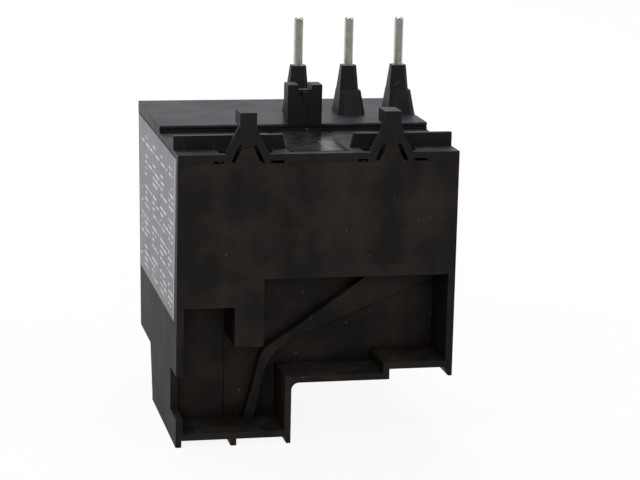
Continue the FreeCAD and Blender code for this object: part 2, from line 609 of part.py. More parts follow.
def ledge_and_plate(part):
    groove = "dim.plateRear + 0.35"
    side = draw(part, "YZ_Plane", f"-{half}", [[
        ("0", "dim.rearTop + dim.seam"), ("0", "dim.ledgeTop"), ("-dim.plateRear", "dim.ledgeTop"),
        ("-dim.plateRear", "dim.plateTop - 0.75"), (f"-({groove})", "dim.plateTop - 0.75"),
        (f"-({groove})", "dim.plateTop - 0.5"), ("-dim.plateRear", "dim.plateTop - 0.5"),
        ("-dim.plateRear", "dim.plateTop - 0.2"), ("-dim.plateRear - 0.2", "dim.plateTop"),
        ("-dim.plateFront", "dim.plateTop"), ("-dim.plateFront", "dim.sideTop + dim.seam"),
        ("-dim.stripDepth + dim.seam", "dim.sideTop + dim.seam"),
        ("-dim.stripDepth + dim.seam", "dim.rearTop + dim.seam")]])
    pad(part, side, "dim.width")
    trough = draw(part, "XZ_Plane", "dim.stripDepth + 0.4", [[
        ("dim.troughLeft", "dim.ledgeTop + 0.1"), ("dim.troughLeft - 1.2", "dim.ledgeTop - 0.4"),
        ("dim.troughRight + 1.2", "dim.ledgeTop - 0.4"), ("dim.troughRight", "dim.ledgeTop + 0.1")]])
    pocket(part, trough, "dim.plateRear - dim.stripDepth - 0.4")
    base = "dim.ledgeTop - 0.3"
    walls = draw(part, "XZ_Plane", "dim.ledgeWallDepth", [
        [("dim.troughLeft - 0.6", base), (half, base), (half, "dim.ledgeWallTop"),
         ("dim.troughLeft", "dim.ledgeWallTop")],
        [(f"-{half}", base), ("dim.troughRight + 0.6", base),
         ("dim.troughRight", "dim.ledgeWallTop"), (f"-{half}", "dim.ledgeWallTop")]])
    pad(part, walls, "dim.ledgeWallThick")


def snap_hooks(part):
    arms = []
    heads = []
    wells = []
    slots = []
    slits = []
    for side in SIDES:
        x = hook_x(side)
        arms.append([(f"{x} + {out}", f"dim.{level} + {lift}") for out, level, lift in HOOK_ARM])
        heads.append(rect((f"{x} - dim.hookHead/2", "dim.hookSeat"),
                          (f"{x} + dim.hookHead/2", "dim.hookTop")))
        wells.append(rect((f"{x} - dim.wellHalf", "-dim.ledgeWallDepth + dim.wellGap"),
                          (f"{x} + dim.wellHalf", "-dim.hookThick - dim.wellGap")))
        slots.append(
            [(f"{x} - {edge} - {out}", f"dim.{level} + {lift}") for edge, out, level, lift in TAB_SLOT]
            + [(f"{x} + {edge} + {out}", f"dim.{level} + {lift}") for edge, out, level, lift in TAB_SLOT[::-1]])
        for low, high in SLITS:
            slits.append(rect((f"{x} + {low}", "dim.rearTop"), (f"{x} + {high}", "dim.rearTop + dim.slitHigh")))
    well = draw(part, "XY_Plane", "dim.sideTop - 0.5", wells)
    pocket(part, well, "dim.ledgeTop - dim.sideTop + 1")
    arm = draw(part, "XZ_Plane", "0.25", arms)
    pad(part, arm, "dim.hookThick - 0.25")
    necks = []
    half_head = "dim.hookHead/2"
    for side in SIDES:
        x = hook_x(side)
        necks.append(
            [(f"{x} - {half_head} + {inward}", f"dim.hookSeat + {lift}") for inward, lift in NECK]
            + [(f"{x} + {half_head} - {inward}", f"dim.hookSeat + {lift}") for inward, lift in NECK[::-1]])
    neck = draw(part, "XZ_Plane", "0", necks)
    pad(part, neck, "dim.hookThick")
    head = draw(part, "XZ_Plane", "0", heads)
    pad(part, head, "dim.hookReach")
    slot = draw(part, "XZ_Plane", "-1", slots)
    pocket(part, slot, "dim.hookThick + 1.3")
    slit = draw(part, "XZ_Plane", "-1", slits)
    pocket(part, slit, "dim.stripDepth + 1")


def octagon(x, wide_low, wide_high, front, rear, bevel):
    """Rectangle with bevelled corners, from the plate seen from above."""
    left = f"{x} + {wide_high}"
    right = f"{x} - {wide_low}"
    return [
        (f"{right} + {bevel}", f"-({front})"), (f"{left} - {bevel}", f"-({front})"),
        (left, f"-({front}) + {bevel}"), (left, f"-({rear}) - {bevel}"),
        (f"{left} - {bevel}", f"-({rear})"), (f"{right} + {bevel}", f"-({rear})"),
        (right, f"-({rear}) - {bevel}"), (right, f"-({front}) + {bevel}")]


def loft(part, low_level, low, high_level, high):
    feature = part.newObject("PartDesign::AdditiveLoft", part.Name + "_loft")
    feature.Profile = draw(part, "XY_Plane", low_level, [low])
    feature.Sections = [draw(part, "XY_Plane", high_level, [high])]
    feature.Ruled = True
    return feature


def pin_sleeves(part):
    for index in POLES:
        x = pin_x(index)
        depth = "dim.pinDepth"
        loft(part,
             "dim.plateTop - 0.1", octagon(x, 2.3, 2.35, f"{depth} + 2.4", f"{depth} - 4.5", 0.8),
             "dim.sleeveStep", octagon(x, 1.8, 1.8, f"{depth} + 1.85", f"{depth} - 2.8", 0.65))
        loft(part,
             "dim.sleeveStep - 0.1", octagon(x, 1.45, 1.8, f"{depth} + 1.6", f"{depth} - 2.5", 0.6),
             "dim.sleeveTop", octagon(x, 1.25, 1.25, f"{depth} + 1.25", f"{depth} - 1.25", 0.5))
    bores = draw(part, "XY_Plane", "dim.sideTop - 1", circles=[
        (pin_x(i), "-dim.pinDepth", "dim.shankRadius + dim.pinFit") for i in POLES])
    pocket(part, bores, "dim.sleeveTop - dim.sideTop + 2")


def guide_post(part):
    x = "dim.castleAcross"
    base = "dim.plateTop - 0.2"
    outer = f"{x} + dim.castleWide/2"
    right = f"{x} - dim.castleWide/2"
    prongs = draw(part, "XZ_Plane", "dim.castleDepth", [
        rect((f"{outer} - dim.prongWide", base), (outer, "dim.castleTop")),
        rect((right, base), (f"{right} + dim.prongWide", "dim.castleTop"))])
    pad(part, prongs, "dim.castleThick")
    web = draw(part, "XZ_Plane", "dim.castleDepth + 0.9", [rect(
        (f"{right} + dim.prongWide - 0.2", base), (f"{outer} - dim.prongWide + 0.2", "dim.castleWeb"))])
    pad(part, web, "dim.castleThick - 1.8")
    tongue = draw(part, "XZ_Plane", "dim.castleDepth + 0.3", [rect(
        (f"{x} - 0.35", base), (f"{x} + 0.35", "dim.castleWeb - 0.25"))])
    pad(part, tongue, "1")


def make_top_frame():
    part = new_body("top_frame")
    ledge_and_plate(part)
    snap_hooks(part)
    pin_sleeves(part)
    guide_post(part)


def make_front_cover():
    part = new_body("front_cover")
    reach = f"({inner} - dim.coverGap)"
    lean = "dim.frontFoot + 1.35"
    side = draw(part, "YZ_Plane", f"-{reach}", [[
        ("-dim.coverRear", "dim.poleFloor + dim.coverGap"),
        ("-dim.frontFoot", "dim.poleFloor + dim.coverGap"),
        (f"-({lean})", "dim.coverStep"), ("-dim.coverFront + dim.coverChamfer", "dim.coverStep"),
        ("-dim.coverFront", "dim.coverStep + dim.coverChamfer"),
        ("-dim.coverFront", "dim.coverTop - dim.coverChamfer"),
        ("-dim.coverFront + dim.coverChamfer", "dim.coverTop"), ("-dim.coverRear", "dim.coverTop")]])
    pad(part, side, f"2*{reach}")
    skirt = draw(part, "YZ_Plane", "dim.switchAcross + dim.coverGap", [rect(
        ("-dim.frontFoot", "dim.switchFloor + dim.coverGap"),
        ("-dim.coverRear", "dim.poleFloor + dim.coverGap + 0.3"))])
    pad(part, skirt, f"{reach} - dim.switchAcross - dim.coverGap")
    inside = "dim.coverStep + dim.coverWall"
    roof = "dim.coverTop - dim.coverWall"
    face = "-dim.coverFront + dim.coverWall"
    panel = "-dim.coverFront + dim.panelDepth + dim.coverWall"
    hollow = draw(part, "YZ_Plane", f"-{reach} + dim.coverWall", [[
        ("-dim.coverRear + 1", inside), (face, inside), (face, "dim.panelLow - dim.coverWall"),
        (panel, "dim.panelLow - dim.coverWall"), (panel, roof), ("-dim.coverRear + 1", roof)]])
    pocket(part, hollow, f"2*{reach} - 2*dim.coverWall")
    front = draw(part, "XZ_Plane", "dim.coverFront - dim.panelDepth", [rect(
        ("dim.panelRight", "dim.panelLow"), ("dim.panelLeft", "dim.panelHigh"))])
    pocket(part, front, "dim.panelDepth + 1")
    lower = [(x, "dim.screwHeight", "dim.driverRadius")
             for x in [strip_x(i) for i in POLES] + [aux_x(c) for c in AUX]]
    drivers = draw(part, "XZ_Plane", "dim.coverRear - 1", circles=lower)
    pocket(part, drivers, "dim.coverFront - dim.coverRear")
    upper = [(aux_x(c), "dim.auxScrewHeight", "dim.driverRadius") for c in AUX]
    uppers = draw(part, "XZ_Plane", "dim.coverFront - dim.coverWall - 0.5", circles=upper)
    pocket(part, uppers, "dim.coverWall + 1")
    near = "-dim.auxDepth - dim.terminalPlate - dim.entryGap"
    entries = [rect((f"{aux_x(c)} - dim.entryWide/2", f"{near} - dim.entryDeep"),
                    (f"{aux_x(c)} + dim.entryWide/2", near)) for c in AUX]
    entry = draw(part, "XY_Plane", "dim.coverStep - 0.5", entries)
    pocket(part, entry, "dim.coverWall + 1")
    level = "dim.coverFront - dim.panelDepth - dim.coverWall - 0.5"
    controls = draw(part, "XZ_Plane", level, [rect(
        ("dim.tripPinAcross - dim.fingerHalf - 1.6", "dim.controlHeight - 1.6"),
        ("dim.tripPinAcross + dim.fingerHalf + 0.4", "dim.controlHeight + 1.6"))], circles=[
        ("dim.dialAcross", "dim.controlHeight", "dim.shaftRadius + dim.runFit"),
        ("dim.stopAcross", "dim.controlHeight", "dim.buttonRadius + dim.runFit"),
        ("dim.resetAcross", "dim.controlHeight", "dim.buttonRadius + dim.runFit")])
    pocket(part, controls, "dim.coverWall + 1")
    door_hinge_lugs(part)
    boss = draw(part, "XZ_Plane", "dim.camDepth + dim.camThick + 0.4", circles=[
        ("dim.leverPinAcross", "dim.leverPinHeight", "dim.leverPinRadius + 0.8")])
    pad(part, boss, "dim.coverFront - dim.panelDepth - dim.coverWall - dim.camDepth - dim.camThick + 0.2")
    bore = draw(part, "XZ_Plane", "dim.camDepth + dim.camThick - 1", circles=[
        ("dim.leverPinAcross", "dim.leverPinHeight", "dim.leverPinRadius + dim.pinFit")])
    pocket(part, bore, "dim.postBore + 1.4")


def door_hinge_lugs(part):
    """Two lugs in front of the face, below the panel, that carry the door's pins."""
    low = "dim.panelLow - 2*dim.hingeRadius - 0.9"
    high = "dim.panelLow - 0.3"
    lugs = draw(part, "XZ_Plane", "dim.coverFront - 0.3", [
        rect(("dim.panelRight - 1.6", low), ("dim.panelRight - 0.3", high)),
        rect(("dim.panelLeft + 0.3", low), ("dim.panelLeft + 1.6", high))])
    pad(part, lugs, "2*dim.hingeRadius + 0.9 + 0.3")
    bore = draw(part, "YZ_Plane", "dim.panelRight - 1.7", circles=[
        ("-dim.coverFront - dim.hingeRadius - dim.doorGap", "dim.panelLow - dim.hingeRadius - 0.6",
         "dim.hingeRadius/2 + dim.runFit")])
    pocket(part, bore, "dim.panelLeft - dim.panelRight + 3.4")


# ---- poles ---------------------------------------------------------------------------------

def make_contact_pin(index):
    name = f"contact_pin_{index + 1}"
    x = pin_x(index)
    shank = doc.addObject("Part::Cylinder", name + "_shank")
    shank.setExpression("Radius", "dim.shankRadius")
    shank.setExpression("Height", "dim.sleeveTop - dim.barLow")
    shaft = doc.addObject("Part::Cylinder", name + "_shaft")
    shaft.setExpression("Radius", "dim.pinRadius")
    shaft.setExpression("Height", "dim.pinTop - dim.pinRadius - dim.barLow")
    tip = doc.addObject("Part::Cone", name + "_tip")
    tip.setExpression("Radius1", "dim.pinRadius")
    tip.setExpression("Radius2", "dim.pinRadius*0.45")
    tip.setExpression("Height", "dim.pinRadius")
    for piece, level in ((shank, "dim.barLow"), (shaft, "dim.barLow"), (tip, "dim.pinTop - dim.pinRadius")):
        piece.setExpression("Placement.Base.x", x)
        piece.setExpression("Placement.Base.y", "-dim.pinDepth")
        piece.setExpression("Placement.Base.z", level)
    bar = box(name + "_bar", (f"{x} - dim.shankRadius", f"{strip_x(index)} + 1.2"),
              ("dim.barRear", "dim.pinDepth + 1.4"), ("dim.barLow", "dim.barLow + dim.barThick"))
    keep(fuse(name, [shank, shaft, tip, bar]), name)


def make_bimetal(index):
    part = new_body(f"bimetal_strip_{index + 1}")
    x = strip_x(index)
    face = draw(part, "YZ_Plane", f"{x} - dim.stripThick/2", [[
        ("-dim.stripDepthAt - dim.stripWide/2", "dim.stripTop"),
        ("-dim.stripDepthAt - dim.stripWide/2", "dim.tripSlideLow + 3.2"),
        ("-dim.stripDepthAt - dim.stripWide/4", "dim.tripSlideLow + 2.2"),
        ("-dim.stripDepthAt - dim.stripWide/4", "dim.stripFoot"),
        ("-dim.stripDepthAt + dim.stripWide/4", "dim.stripFoot"),
        ("-dim.stripDepthAt + dim.stripWide/4", "dim.tripSlideLow + 2.2"),
        ("-dim.stripDepthAt + dim.stripWide/2", "dim.tripSlideLow + 3.2"),
        ("-dim.stripDepthAt + dim.stripWide/2", "dim.stripTop")]])
    pad(part, face, "dim.stripThick")


def tube_loops(x, gap, wall):
    """Two nested rectangles round the strip, seen from above."""
    loops = []
    for grow in (gap, f"({gap}) + {wall}"):
        across = f"dim.stripThick/2 + {grow}"
        deep = f"dim.stripWide/2 + {grow}"
        loops.append(rect((f"{x} - ({across})", f"-dim.stripDepthAt - ({deep})"),
                          (f"{x} + {across}", f"-dim.stripDepthAt + {deep}")))
    return loops


def make_glass_sleeve(index):
    part = new_body(f"winding_insulation_{index + 1}")
    tube = draw(part, "XY_Plane", "dim.sleeveFoot", tube_loops(strip_x(index), "dim.fit", "dim.sleeveThick"))
    pad(part, tube, "dim.sleeveHead - dim.sleeveFoot")


def make_winding(index):
    part = new_body(f"heater_winding_{index + 1}")
    x = strip_x(index)
    inside = "2*dim.fit + dim.sleeveThick"
    core = draw(part, "XY_Plane", "dim.windFoot", tube_loops(x, inside, "dim.ribbonThick*0.4"))
    pad(part, core, "dim.windHead - dim.windFoot")
    turn = draw(part, "XY_Plane", "dim.windFoot", tube_loops(x, inside, "dim.ribbonThick"))
    first = pad(part, turn, "dim.ribbonWide")
    pattern = part.newObject("PartDesign::LinearPattern", part.Name + "_turns")
    pattern.Originals = [first]
    pattern.Direction = (origin_part(part, "Z_Axis"), [""])
    pattern.setExpression("Length", "dim.windHead - dim.windFoot - dim.ribbonWide")
    pattern.setExpression("Occurrences", "dim.turns")
    part.Tip = pattern
    side = f"{x} + dim.stripThick/2 + {inside}"
    lead = draw(part, "XZ_Plane", "dim.stripDepthAt - dim.ribbonWide/2", [rect(
        (side, "dim.windHead - 0.3"), (f"{side} + dim.ribbonThick", "dim.barLow - 0.15"))])
    pad(part, lead, "dim.ribbonWide")


def make_load_terminal(index):
    name = f"load_terminal_{index + 1}"
    x = strip_x(index)
    wide = (f"{x} - dim.terminalHalf", f"{x} + dim.terminalHalf")
    narrow = (f"{x} - 1.2", f"{x} + 1.2")
    back = "dim.stripDepthAt - dim.stripWide/2"
    grip_far = (f"{x} - dim.stripThick/2 - dim.fit - 0.7", f"{x} - dim.stripThick/2 - dim.fit")
    drop_front = "dim.terminalDepth"
    pieces = [
        box(name + "_grip", grip_far, (back, "dim.stripDepthAt + dim.stripWide/2 + 1"),
            ("dim.anchorLow", "dim.stripTop + 0.6")),
        box(name + "_bar", narrow, ("dim.stripDepthAt + dim.stripWide/2 + 0.3", "dim.terminalDepth"),
            ("dim.stripTop + 0.6 - dim.barThick", "dim.stripTop + 0.6")),
        box(name + "_drop", narrow, (f"{drop_front} - dim.barThick", drop_front),
            ("dim.terminalHigh - 1", "dim.stripTop + 0.6")),
        box(name + "_plate", wide, ("dim.terminalDepth - 0.2", "dim.terminalDepth + dim.terminalPlate"),
            ("dim.terminalLow", "dim.terminalHigh"))]
    hole = rod(name + "_hole", x, "dim.screwHeight",
               ("dim.terminalDepth - 3", "dim.terminalDepth + 3"), "dim.screwRadius + dim.screwFit")
    keep(cut(name, fuse(name + "_blank", pieces), [hole]), name)


def screw(name, x, up, plate_depth):
    """Pan head screw whose head faces the front."""
    under = f"({plate_depth} + dim.terminalPlate + dim.washerGap + dim.washerThick + dim.fit)"
    head = rod(name + "_head", x, up, (under, f"{under} + dim.headThick"), "dim.headRadius")
    shank = rod(name + "_shank", x, up, (f"{under} - dim.shankLong", under), "dim.screwRadius")
    return fuse(name, [head, shank])


def washer(name, x, up, plate_depth):
    near = f"({plate_depth} + dim.terminalPlate + dim.washerGap)"
    plate = box(name + "_plate", (f"{x} - dim.washerHalf", f"{x} + dim.washerHalf"),
                (near, f"{near} + dim.washerThick"),
                (f"{up} - dim.washerHalf*1.2", f"{up} + dim.washerHalf*1.2"))
    hole = rod(name + "_hole", x, up, (f"{near} - 1", f"{near} + 3"), "dim.screwRadius + dim.screwFit")
    return cut(name, plate, [hole])


def make_terminal_hardware():
    lower = "dim.terminalDepth"
    upper = "dim.auxDepth"
    load = [(strip_x(i), "dim.screwHeight", lower) for i in POLES]
    aux = [(aux_x(c), "dim.screwHeight", lower) for c in AUX]
    aux += [(aux_x(c), "dim.auxScrewHeight", upper) for c in AUX]
    for name, spots in (("load", load), ("aux", aux)):
        screws = [screw(f"{name}_screw_{i}", *spot) for i, spot in enumerate(spots)]
        keep(group(f"{name}_screws", screws), f"{name}_screws")
        washers = [washer(f"{name}_washer_{i}", *spot) for i, spot in enumerate(spots)]
        keep(group(f"{name}_clamp_washers", washers), f"{name}_clamp_washers")


# ---- slides and levers ---------------------------------------------------------------------

def make_slide(name, low, push):
    """Comb that the strips' tips work in, drawn from above. push is the end that does work."""
    part = new_body(name)
    right = f"{strip_x(0)} - dim.stripThick/2 - 1.5"
    comb = draw(part, "XY_Plane", low, [rect(
        (right, "-dim.stripDepthAt - dim.slideWide/2"), (push, "-dim.stripDepthAt + dim.slideWide/2"))] + [
        rect((f"{strip_x(i)} - dim.stripThick/2 - dim.slideFit",
              "-dim.stripDepthAt - dim.stripWide/4 - dim.slideFit"),
             (f"{strip_x(i)} + dim.stripThick/2 + dim.slideFit",
              "-dim.stripDepthAt + dim.stripWide/4 + dim.slideFit")) for i in POLES])
    pad(part, comb, "dim.slideThick")
    lighten = draw(part, "XY_Plane", f"{low} - 1", [
        rect((f"{strip_x(i)} + dim.stripThick/2 + 1.6", "-dim.stripDepthAt - 1.6"),
             (f"{strip_x(i)} + dim.pinPitch - dim.stripThick/2 - 1.6", "-dim.stripDepthAt + 1.6"))
        for i in range(len(POLES) - 1)])
    pocket(part, lighten, "dim.slideThick + 2")


def make_setting_lever():
    name = "setting_lever"
    x = "dim.leverPinAcross"
    z = "dim.leverPinHeight"
    front = "dim.camDepth + dim.camThick"
    tip_low = "dim.controlHeight + dim.camRadius + 0.3"
    hub = rod(name + "_hub", x, z, ("dim.leverRear", front), "dim.leverHub")
    arm = box(name + "_arm", ("dim.dialAcross - 1", x), ("dim.camDepth + 0.2", front),
              (tip_low, f"{tip_low} + dim.leverArm"))
    hanger = box(name + "_hanger", ("dim.compAcross - 1", "dim.compAcross + 1"),
                 ("dim.stripDepthAt + dim.stripWide/2 + 0.4", "dim.stripDepthAt + dim.stripWide/2 + 2.0"),
                 ("dim.compHeight - 1.3", z))
    bore = rod(name + "_bore", x, z, ("dim.leverRear - 1", f"{front} + 1"), "dim.leverPinRadius + dim.runFit")
    eye = rod(name + "_eye", "dim.compAcross", "dim.compHeight",
              ("dim.stripDepthAt", "dim.stripDepthAt + 8"), "dim.compPin + dim.pinFit")
    keep(cut(name, fuse(name + "_blank", [hub, arm, hanger]), [bore, eye]), name)


def make_compensation_strip():
    name = "compensation_strip"
    x = "dim.compAcross"
    back = "dim.stripDepthAt - dim.stripWide/2"
    front = "dim.stripDepthAt + dim.stripWide/2"
    hub = rod(name + "_hub", x, "dim.compHeight", (back, front), "dim.compHub")
    blade = box(name + "_blade", (f"{x} - dim.compThick/2", f"{x} + dim.compThick/2"), (back, front),
                ("dim.compFoot", "dim.compHeight"))
    bore = rod(name + "_bore", x, "dim.compHeight",
               (f"{back} - dim.cutReach", f"{front} + dim.cutReach"), "dim.compPin + dim.runFit")
    keep(cut(name, fuse(name + "_blank", [hub, blade]), [bore]), name)


def make_round_pin(name, x, z, depth, radius):
    part = new_body(name)
    section = draw(part, "XZ_Plane", depth[0], circles=[(x, z, radius)])
    pad(part, section, f"({depth[1]}) - ({depth[0]})")


def make_pins():
    make_round_pin("setting_pivot_pin", "dim.leverPinAcross", "dim.leverPinHeight",
                   ("dim.postDepth - dim.postBore + 0.3", "dim.camDepth + dim.camThick + 1.6"),
                   "dim.leverPinRadius")
    make_round_pin("trip_pivot_pin", "dim.tripPinAcross", "dim.tripPinHeight",
                   ("dim.postDepth - dim.postBore + 0.3", "dim.frameDepth + dim.frameThick"),
                   "dim.tripPinRadius")
    make_round_pin("compensator_pin", "dim.compAcross", "dim.compHeight",
                   ("dim.stripDepthAt - dim.stripWide/2 + 0.2", "dim.stripDepthAt + dim.stripWide/2 + 2.0"),
                   "dim.compPin")


def make_trip_lever():
    name = "trip_lever"
    x = "dim.tripPinAcross"
    z = "dim.tripPinHeight"
    hub = rod(name + "_hub", x, z, ("dim.tripRear", "dim.tripFront"), "dim.tripHub")
    tip = "dim.compAcross + dim.compThick/2 + dim.tripTipGap"
    part = doc.addObject("PartDesign::Body", name + "_arms")
    lower = draw(part, "XZ_Plane", "dim.tripRear", [[
        (tip, "dim.tripTipHeight - 0.8"), (f"{tip} + 1.5", "dim.tripTipHeight - 0.8"),
        (f"{x} + 1.2", f"{z} - 1.4"), (f"{x} + 1.2", "dim.fingerHigh"), (f"{x} - 1.2", "dim.fingerHigh"),
        (f"{x} - 1.2", f"{z} + 1.4"), (tip, "dim.tripTipHeight + 1.4")]])
    pad(part, lower, "4")
    finger = box(name + "_finger", (f"{x} - dim.fingerHalf", f"{x} + dim.fingerHalf"),
                 ("dim.tripRear + 0.5", "dim.bladeDepth + dim.bladeWide + 0.4"),
                 ("dim.fingerLow", "dim.fingerHigh"))
    bore = rod(name + "_bore", x, z, ("dim.tripRear - dim.cutReach", "dim.tripFront + dim.cutReach"),
               "dim.tripPinRadius + dim.runFit")
    keep(cut(name, fuse(name + "_blank", [hub, part, finger]), [bore]), name)


def make_trip_flag():
    part = new_body("trip_flag")
    x = "dim.tripPinAcross"
    start = "dim.bladeDepth + dim.bladeWide + 0.4"
    stem = draw(part, "XZ_Plane", start, [rect(
        (f"{x} - 0.8", "dim.fingerLow + 1"), (f"{x} + 0.8", "dim.fingerHigh - 1"))])
    pad(part, stem, f"dim.coverFront - dim.panelDepth - dim.coverWall - 0.4 - ({start})")
    head = draw(part, "XZ_Plane", "dim.coverFront - dim.panelDepth - dim.coverWall - 1.4", [rect(
        (f"{x} - 1.4", "dim.controlHeight - 1.5"), (f"{x} + 1.4", "dim.controlHeight + 1.5"))])
    pad(part, head, "1")


def make_mechanism_frame():
    part = new_body("mechanism_frame")
    low = "dim.frameLow"
    left = f"{inner} - 0.15"
    right = "dim.stopAcross - dim.buttonRadius - 1"
    plate = draw(part, "XZ_Plane", "dim.frameDepth", [
        rect((right, low), (left, "dim.frameHigh")),
        rect(("dim.tripPinAcross - dim.fingerHalf - 2.2", "dim.fingerLow - 0.5"),
             ("dim.tripPinAcross + dim.fingerHalf + 0.6", "dim.fingerHigh + 0.7"))], circles=[
        ("dim.tripPinAcross", "dim.tripPinHeight", "dim.tripPinRadius + dim.pinFit"),
        ("dim.leverPinAcross", "dim.leverPinHeight", "dim.leverHub + 0.3"),
        ("dim.stopAcross", "dim.controlHeight", "dim.stemRadius + 0.15"),
        ("dim.resetAcross", "dim.controlHeight", "dim.stemRadius + 0.15")])
    pad(part, plate, "dim.frameThick")
    boss = draw(part, "XZ_Plane", "dim.frameDepth - 2.2", circles=[
        ("dim.tripPinAcross", "dim.tripPinHeight", "1.7"),
        ("dim.tripPinAcross", "dim.tripPinHeight", "dim.tripPinRadius + dim.pinFit")])
    pad(part, boss, "2.3")
    legs = draw(part, "XZ_Plane", "dim.frameDepth + dim.frameThick - 0.2", [
        rect((f"{left} - 3.2", "dim.frameHigh - 2.6"), (f"{left} - 1.7", "dim.frameHigh - 0.7")),
        rect((f"{left} - 3.2", f"{low} + 1.5"), (f"{left} - 1.7", f"{low} + 3.5"))])
    pad(part, legs, f"{PANEL_UNDER} - dim.coverGap - dim.frameDepth - dim.frameThick + 0.2")


# ---- contacts ------------------------------------------------------------------------------

def make_contact_set(key, column, toward, closed):
    """One moving blade and one fixed strip, each with its terminal plate. toward is the side
    (+1 left, -1 right) of the lever's finger that the blade stands on."""
    x = aux_x(column)
    finger = f"(dim.tripPinAcross + {toward}*(dim.fingerHalf + dim.bladeGap))"
    blade_far = f"({finger} + {toward}*dim.bladeThick)"
    gap = "0.1" if closed else "dim.contactGap"
    fixed_face = f"({blade_far} + {toward}*(dim.contactThick + {gap}))"
    strip_near = f"({fixed_face} + {toward}*{'1.3' if closed else '0.35'})"
    strip_far = f"({strip_near} + {toward}*dim.tailThick)"
    tail_near = f"({blade_far} + {toward}*dim.fit)"
    tail_far = f"({tail_near} + {toward}*dim.tailThick)"
    span = ("dim.bladeDepth", "dim.bladeDepth + dim.bladeWide")
    make_blade(f"{key}_contact_blade", finger, blade_far, toward, span)
    make_blade_terminal(f"{key}_blade_terminal", x, tail_near, tail_far, toward)
    make_fixed_contact(f"{key}_fixed_contact", x, (fixed_face, strip_near, strip_far), toward, span)


def ordered(first, second, toward):
    return (first, second) if toward > 0 else (second, first)


def contact_rivet(name, span):
    return stud(name + "_rivet", "dim.bladeDepth + dim.bladeWide/2", "dim.contactHeight", span,
                "dim.contactRadius")


def make_blade(name, near, far, toward, span):
    leaf = box(name + "_leaf", ordered(near, far, toward), span, ("dim.bladeFoot", "dim.bladeTop"))
    tip = ordered(f"{far} - {toward}*0.1", f"{far} + {toward}*dim.contactThick", toward)
    rivet = contact_rivet(name, tip)
    keep(fuse(name, [leaf, rivet]), name)


def make_blade_terminal(name, x, near, far, toward):
    plate = box(name + "_plate", (f"{x} - dim.auxHalf", f"{x} + dim.auxHalf"),
                ("dim.terminalDepth", "dim.terminalDepth + dim.terminalPlate"),
                ("dim.terminalLow", "dim.terminalHigh"))
    tail = box(name + "_tail", ordered(near, far, toward),
               ("dim.bladeDepth", "dim.terminalDepth + dim.terminalPlate"),
               ("dim.terminalHigh - 1", "dim.bladeFoot + 3.2"))
    hole = rod(name + "_hole", x, "dim.screwHeight",
               ("dim.terminalDepth - 3", "dim.terminalDepth + 3"), "dim.screwRadius + dim.screwFit")
    keep(cut(name, fuse(name + "_blank", [plate, tail]), [hole]), name)


def make_fixed_contact(name, x, across, toward, span):
    face, near, far = across
    plate = box(name + "_plate", (f"{x} - dim.auxUpperHalf", f"{x} + dim.auxUpperHalf"),
                ("dim.auxDepth", "dim.auxDepth + dim.terminalPlate"), ("dim.auxLow", "dim.auxHigh"))
    tail = box(name + "_tail", ordered(near, far, toward), (span[0], "dim.auxDepth + 0.2"),
               ("dim.auxLow + 0.2", "dim.frameLow - 0.6"))
    post = box(name + "_post", ordered(near, far, toward), span, ("dim.auxLow + 0.2", "dim.bladeTop"))
    tip = ordered(face, f"{near} + {toward}*0.1", toward)
    rivet = contact_rivet(name, tip)
    hole = rod(name + "_hole", x, "dim.auxScrewHeight",
               ("dim.auxDepth - 3.5", "dim.auxDepth + 3"), "dim.screwRadius + dim.screwFit")
    keep(cut(name, fuse(name + "_blank", [plate, tail, post, rivet]), [hole]), name)


# ---- controls ------------------------------------------------------------------------------

def make_dial():
    name = "setting_dial"
    x = "dim.dialAcross"
    z = "dim.controlHeight"
    base = f"({PANEL_FLOOR} + dim.dialLift)"
    face = f"({base} + dim.dialThick)"
    head = rod(name + "_head", x, z, (base, face), "dim.dialRadius")
    shaft = rod(name + "_shaft", x, z, ("dim.camDepth", f"{base} + 0.5"), "dim.shaftRadius")
    slot = box(name + "_slot", (f"{x} - dim.dialSlotWide/2", f"{x} + dim.dialSlotWide/2"),
               (f"{face} - dim.dialSlotDeep", f"{face} + dim.cutReach"),
               (f"{z} - dim.dialSlotHalf", f"{z} + dim.dialSlotHalf"))
    cam = snail_cam(name + "_cam")
    keep(cut(name, fuse(name + "_blank", [head, shaft, cam]), [slot]), name)


def snail_cam(name):
    """Disc whose radius grows evenly with the angle, and is camRadius straight up."""
    part = doc.addObject("PartDesign::Body", name)
    corners = []
    for angle in range(-CAM_HALF, CAM_HALF + 1, CAM_STEP):
        radius = f"(dim.camRadius + dim.camRise*{angle}/{CAM_HALF})"
        corners.append((f"dim.dialAcross + {radius}*sin({angle})",
                        f"dim.controlHeight + {radius}*cos({angle})"))
    pad(part, draw(part, "XZ_Plane", "dim.camDepth", [corners]), "dim.camThick")
    return part


def make_button(name, x):
    """Plunger with a collar under the panel that keeps it in."""
    z = "dim.controlHeight"
    rear = f"{PANEL_UNDER} - dim.collarThick"
    head = rod(name + "_head", x, z, (rear, f"{PANEL_FLOOR} + dim.buttonProud"), "dim.buttonRadius")
    collar = rod(name + "_collar", x, z, (rear, f"{PANEL_UNDER} - dim.coverGap"), "dim.buttonRadius + 0.4")
    stem = rod(name + "_stem", x, z, ("dim.stemRear", f"{PANEL_UNDER} - 0.5"), "dim.stemRadius")
    keep(fuse(name, [head, collar, stem]), name)


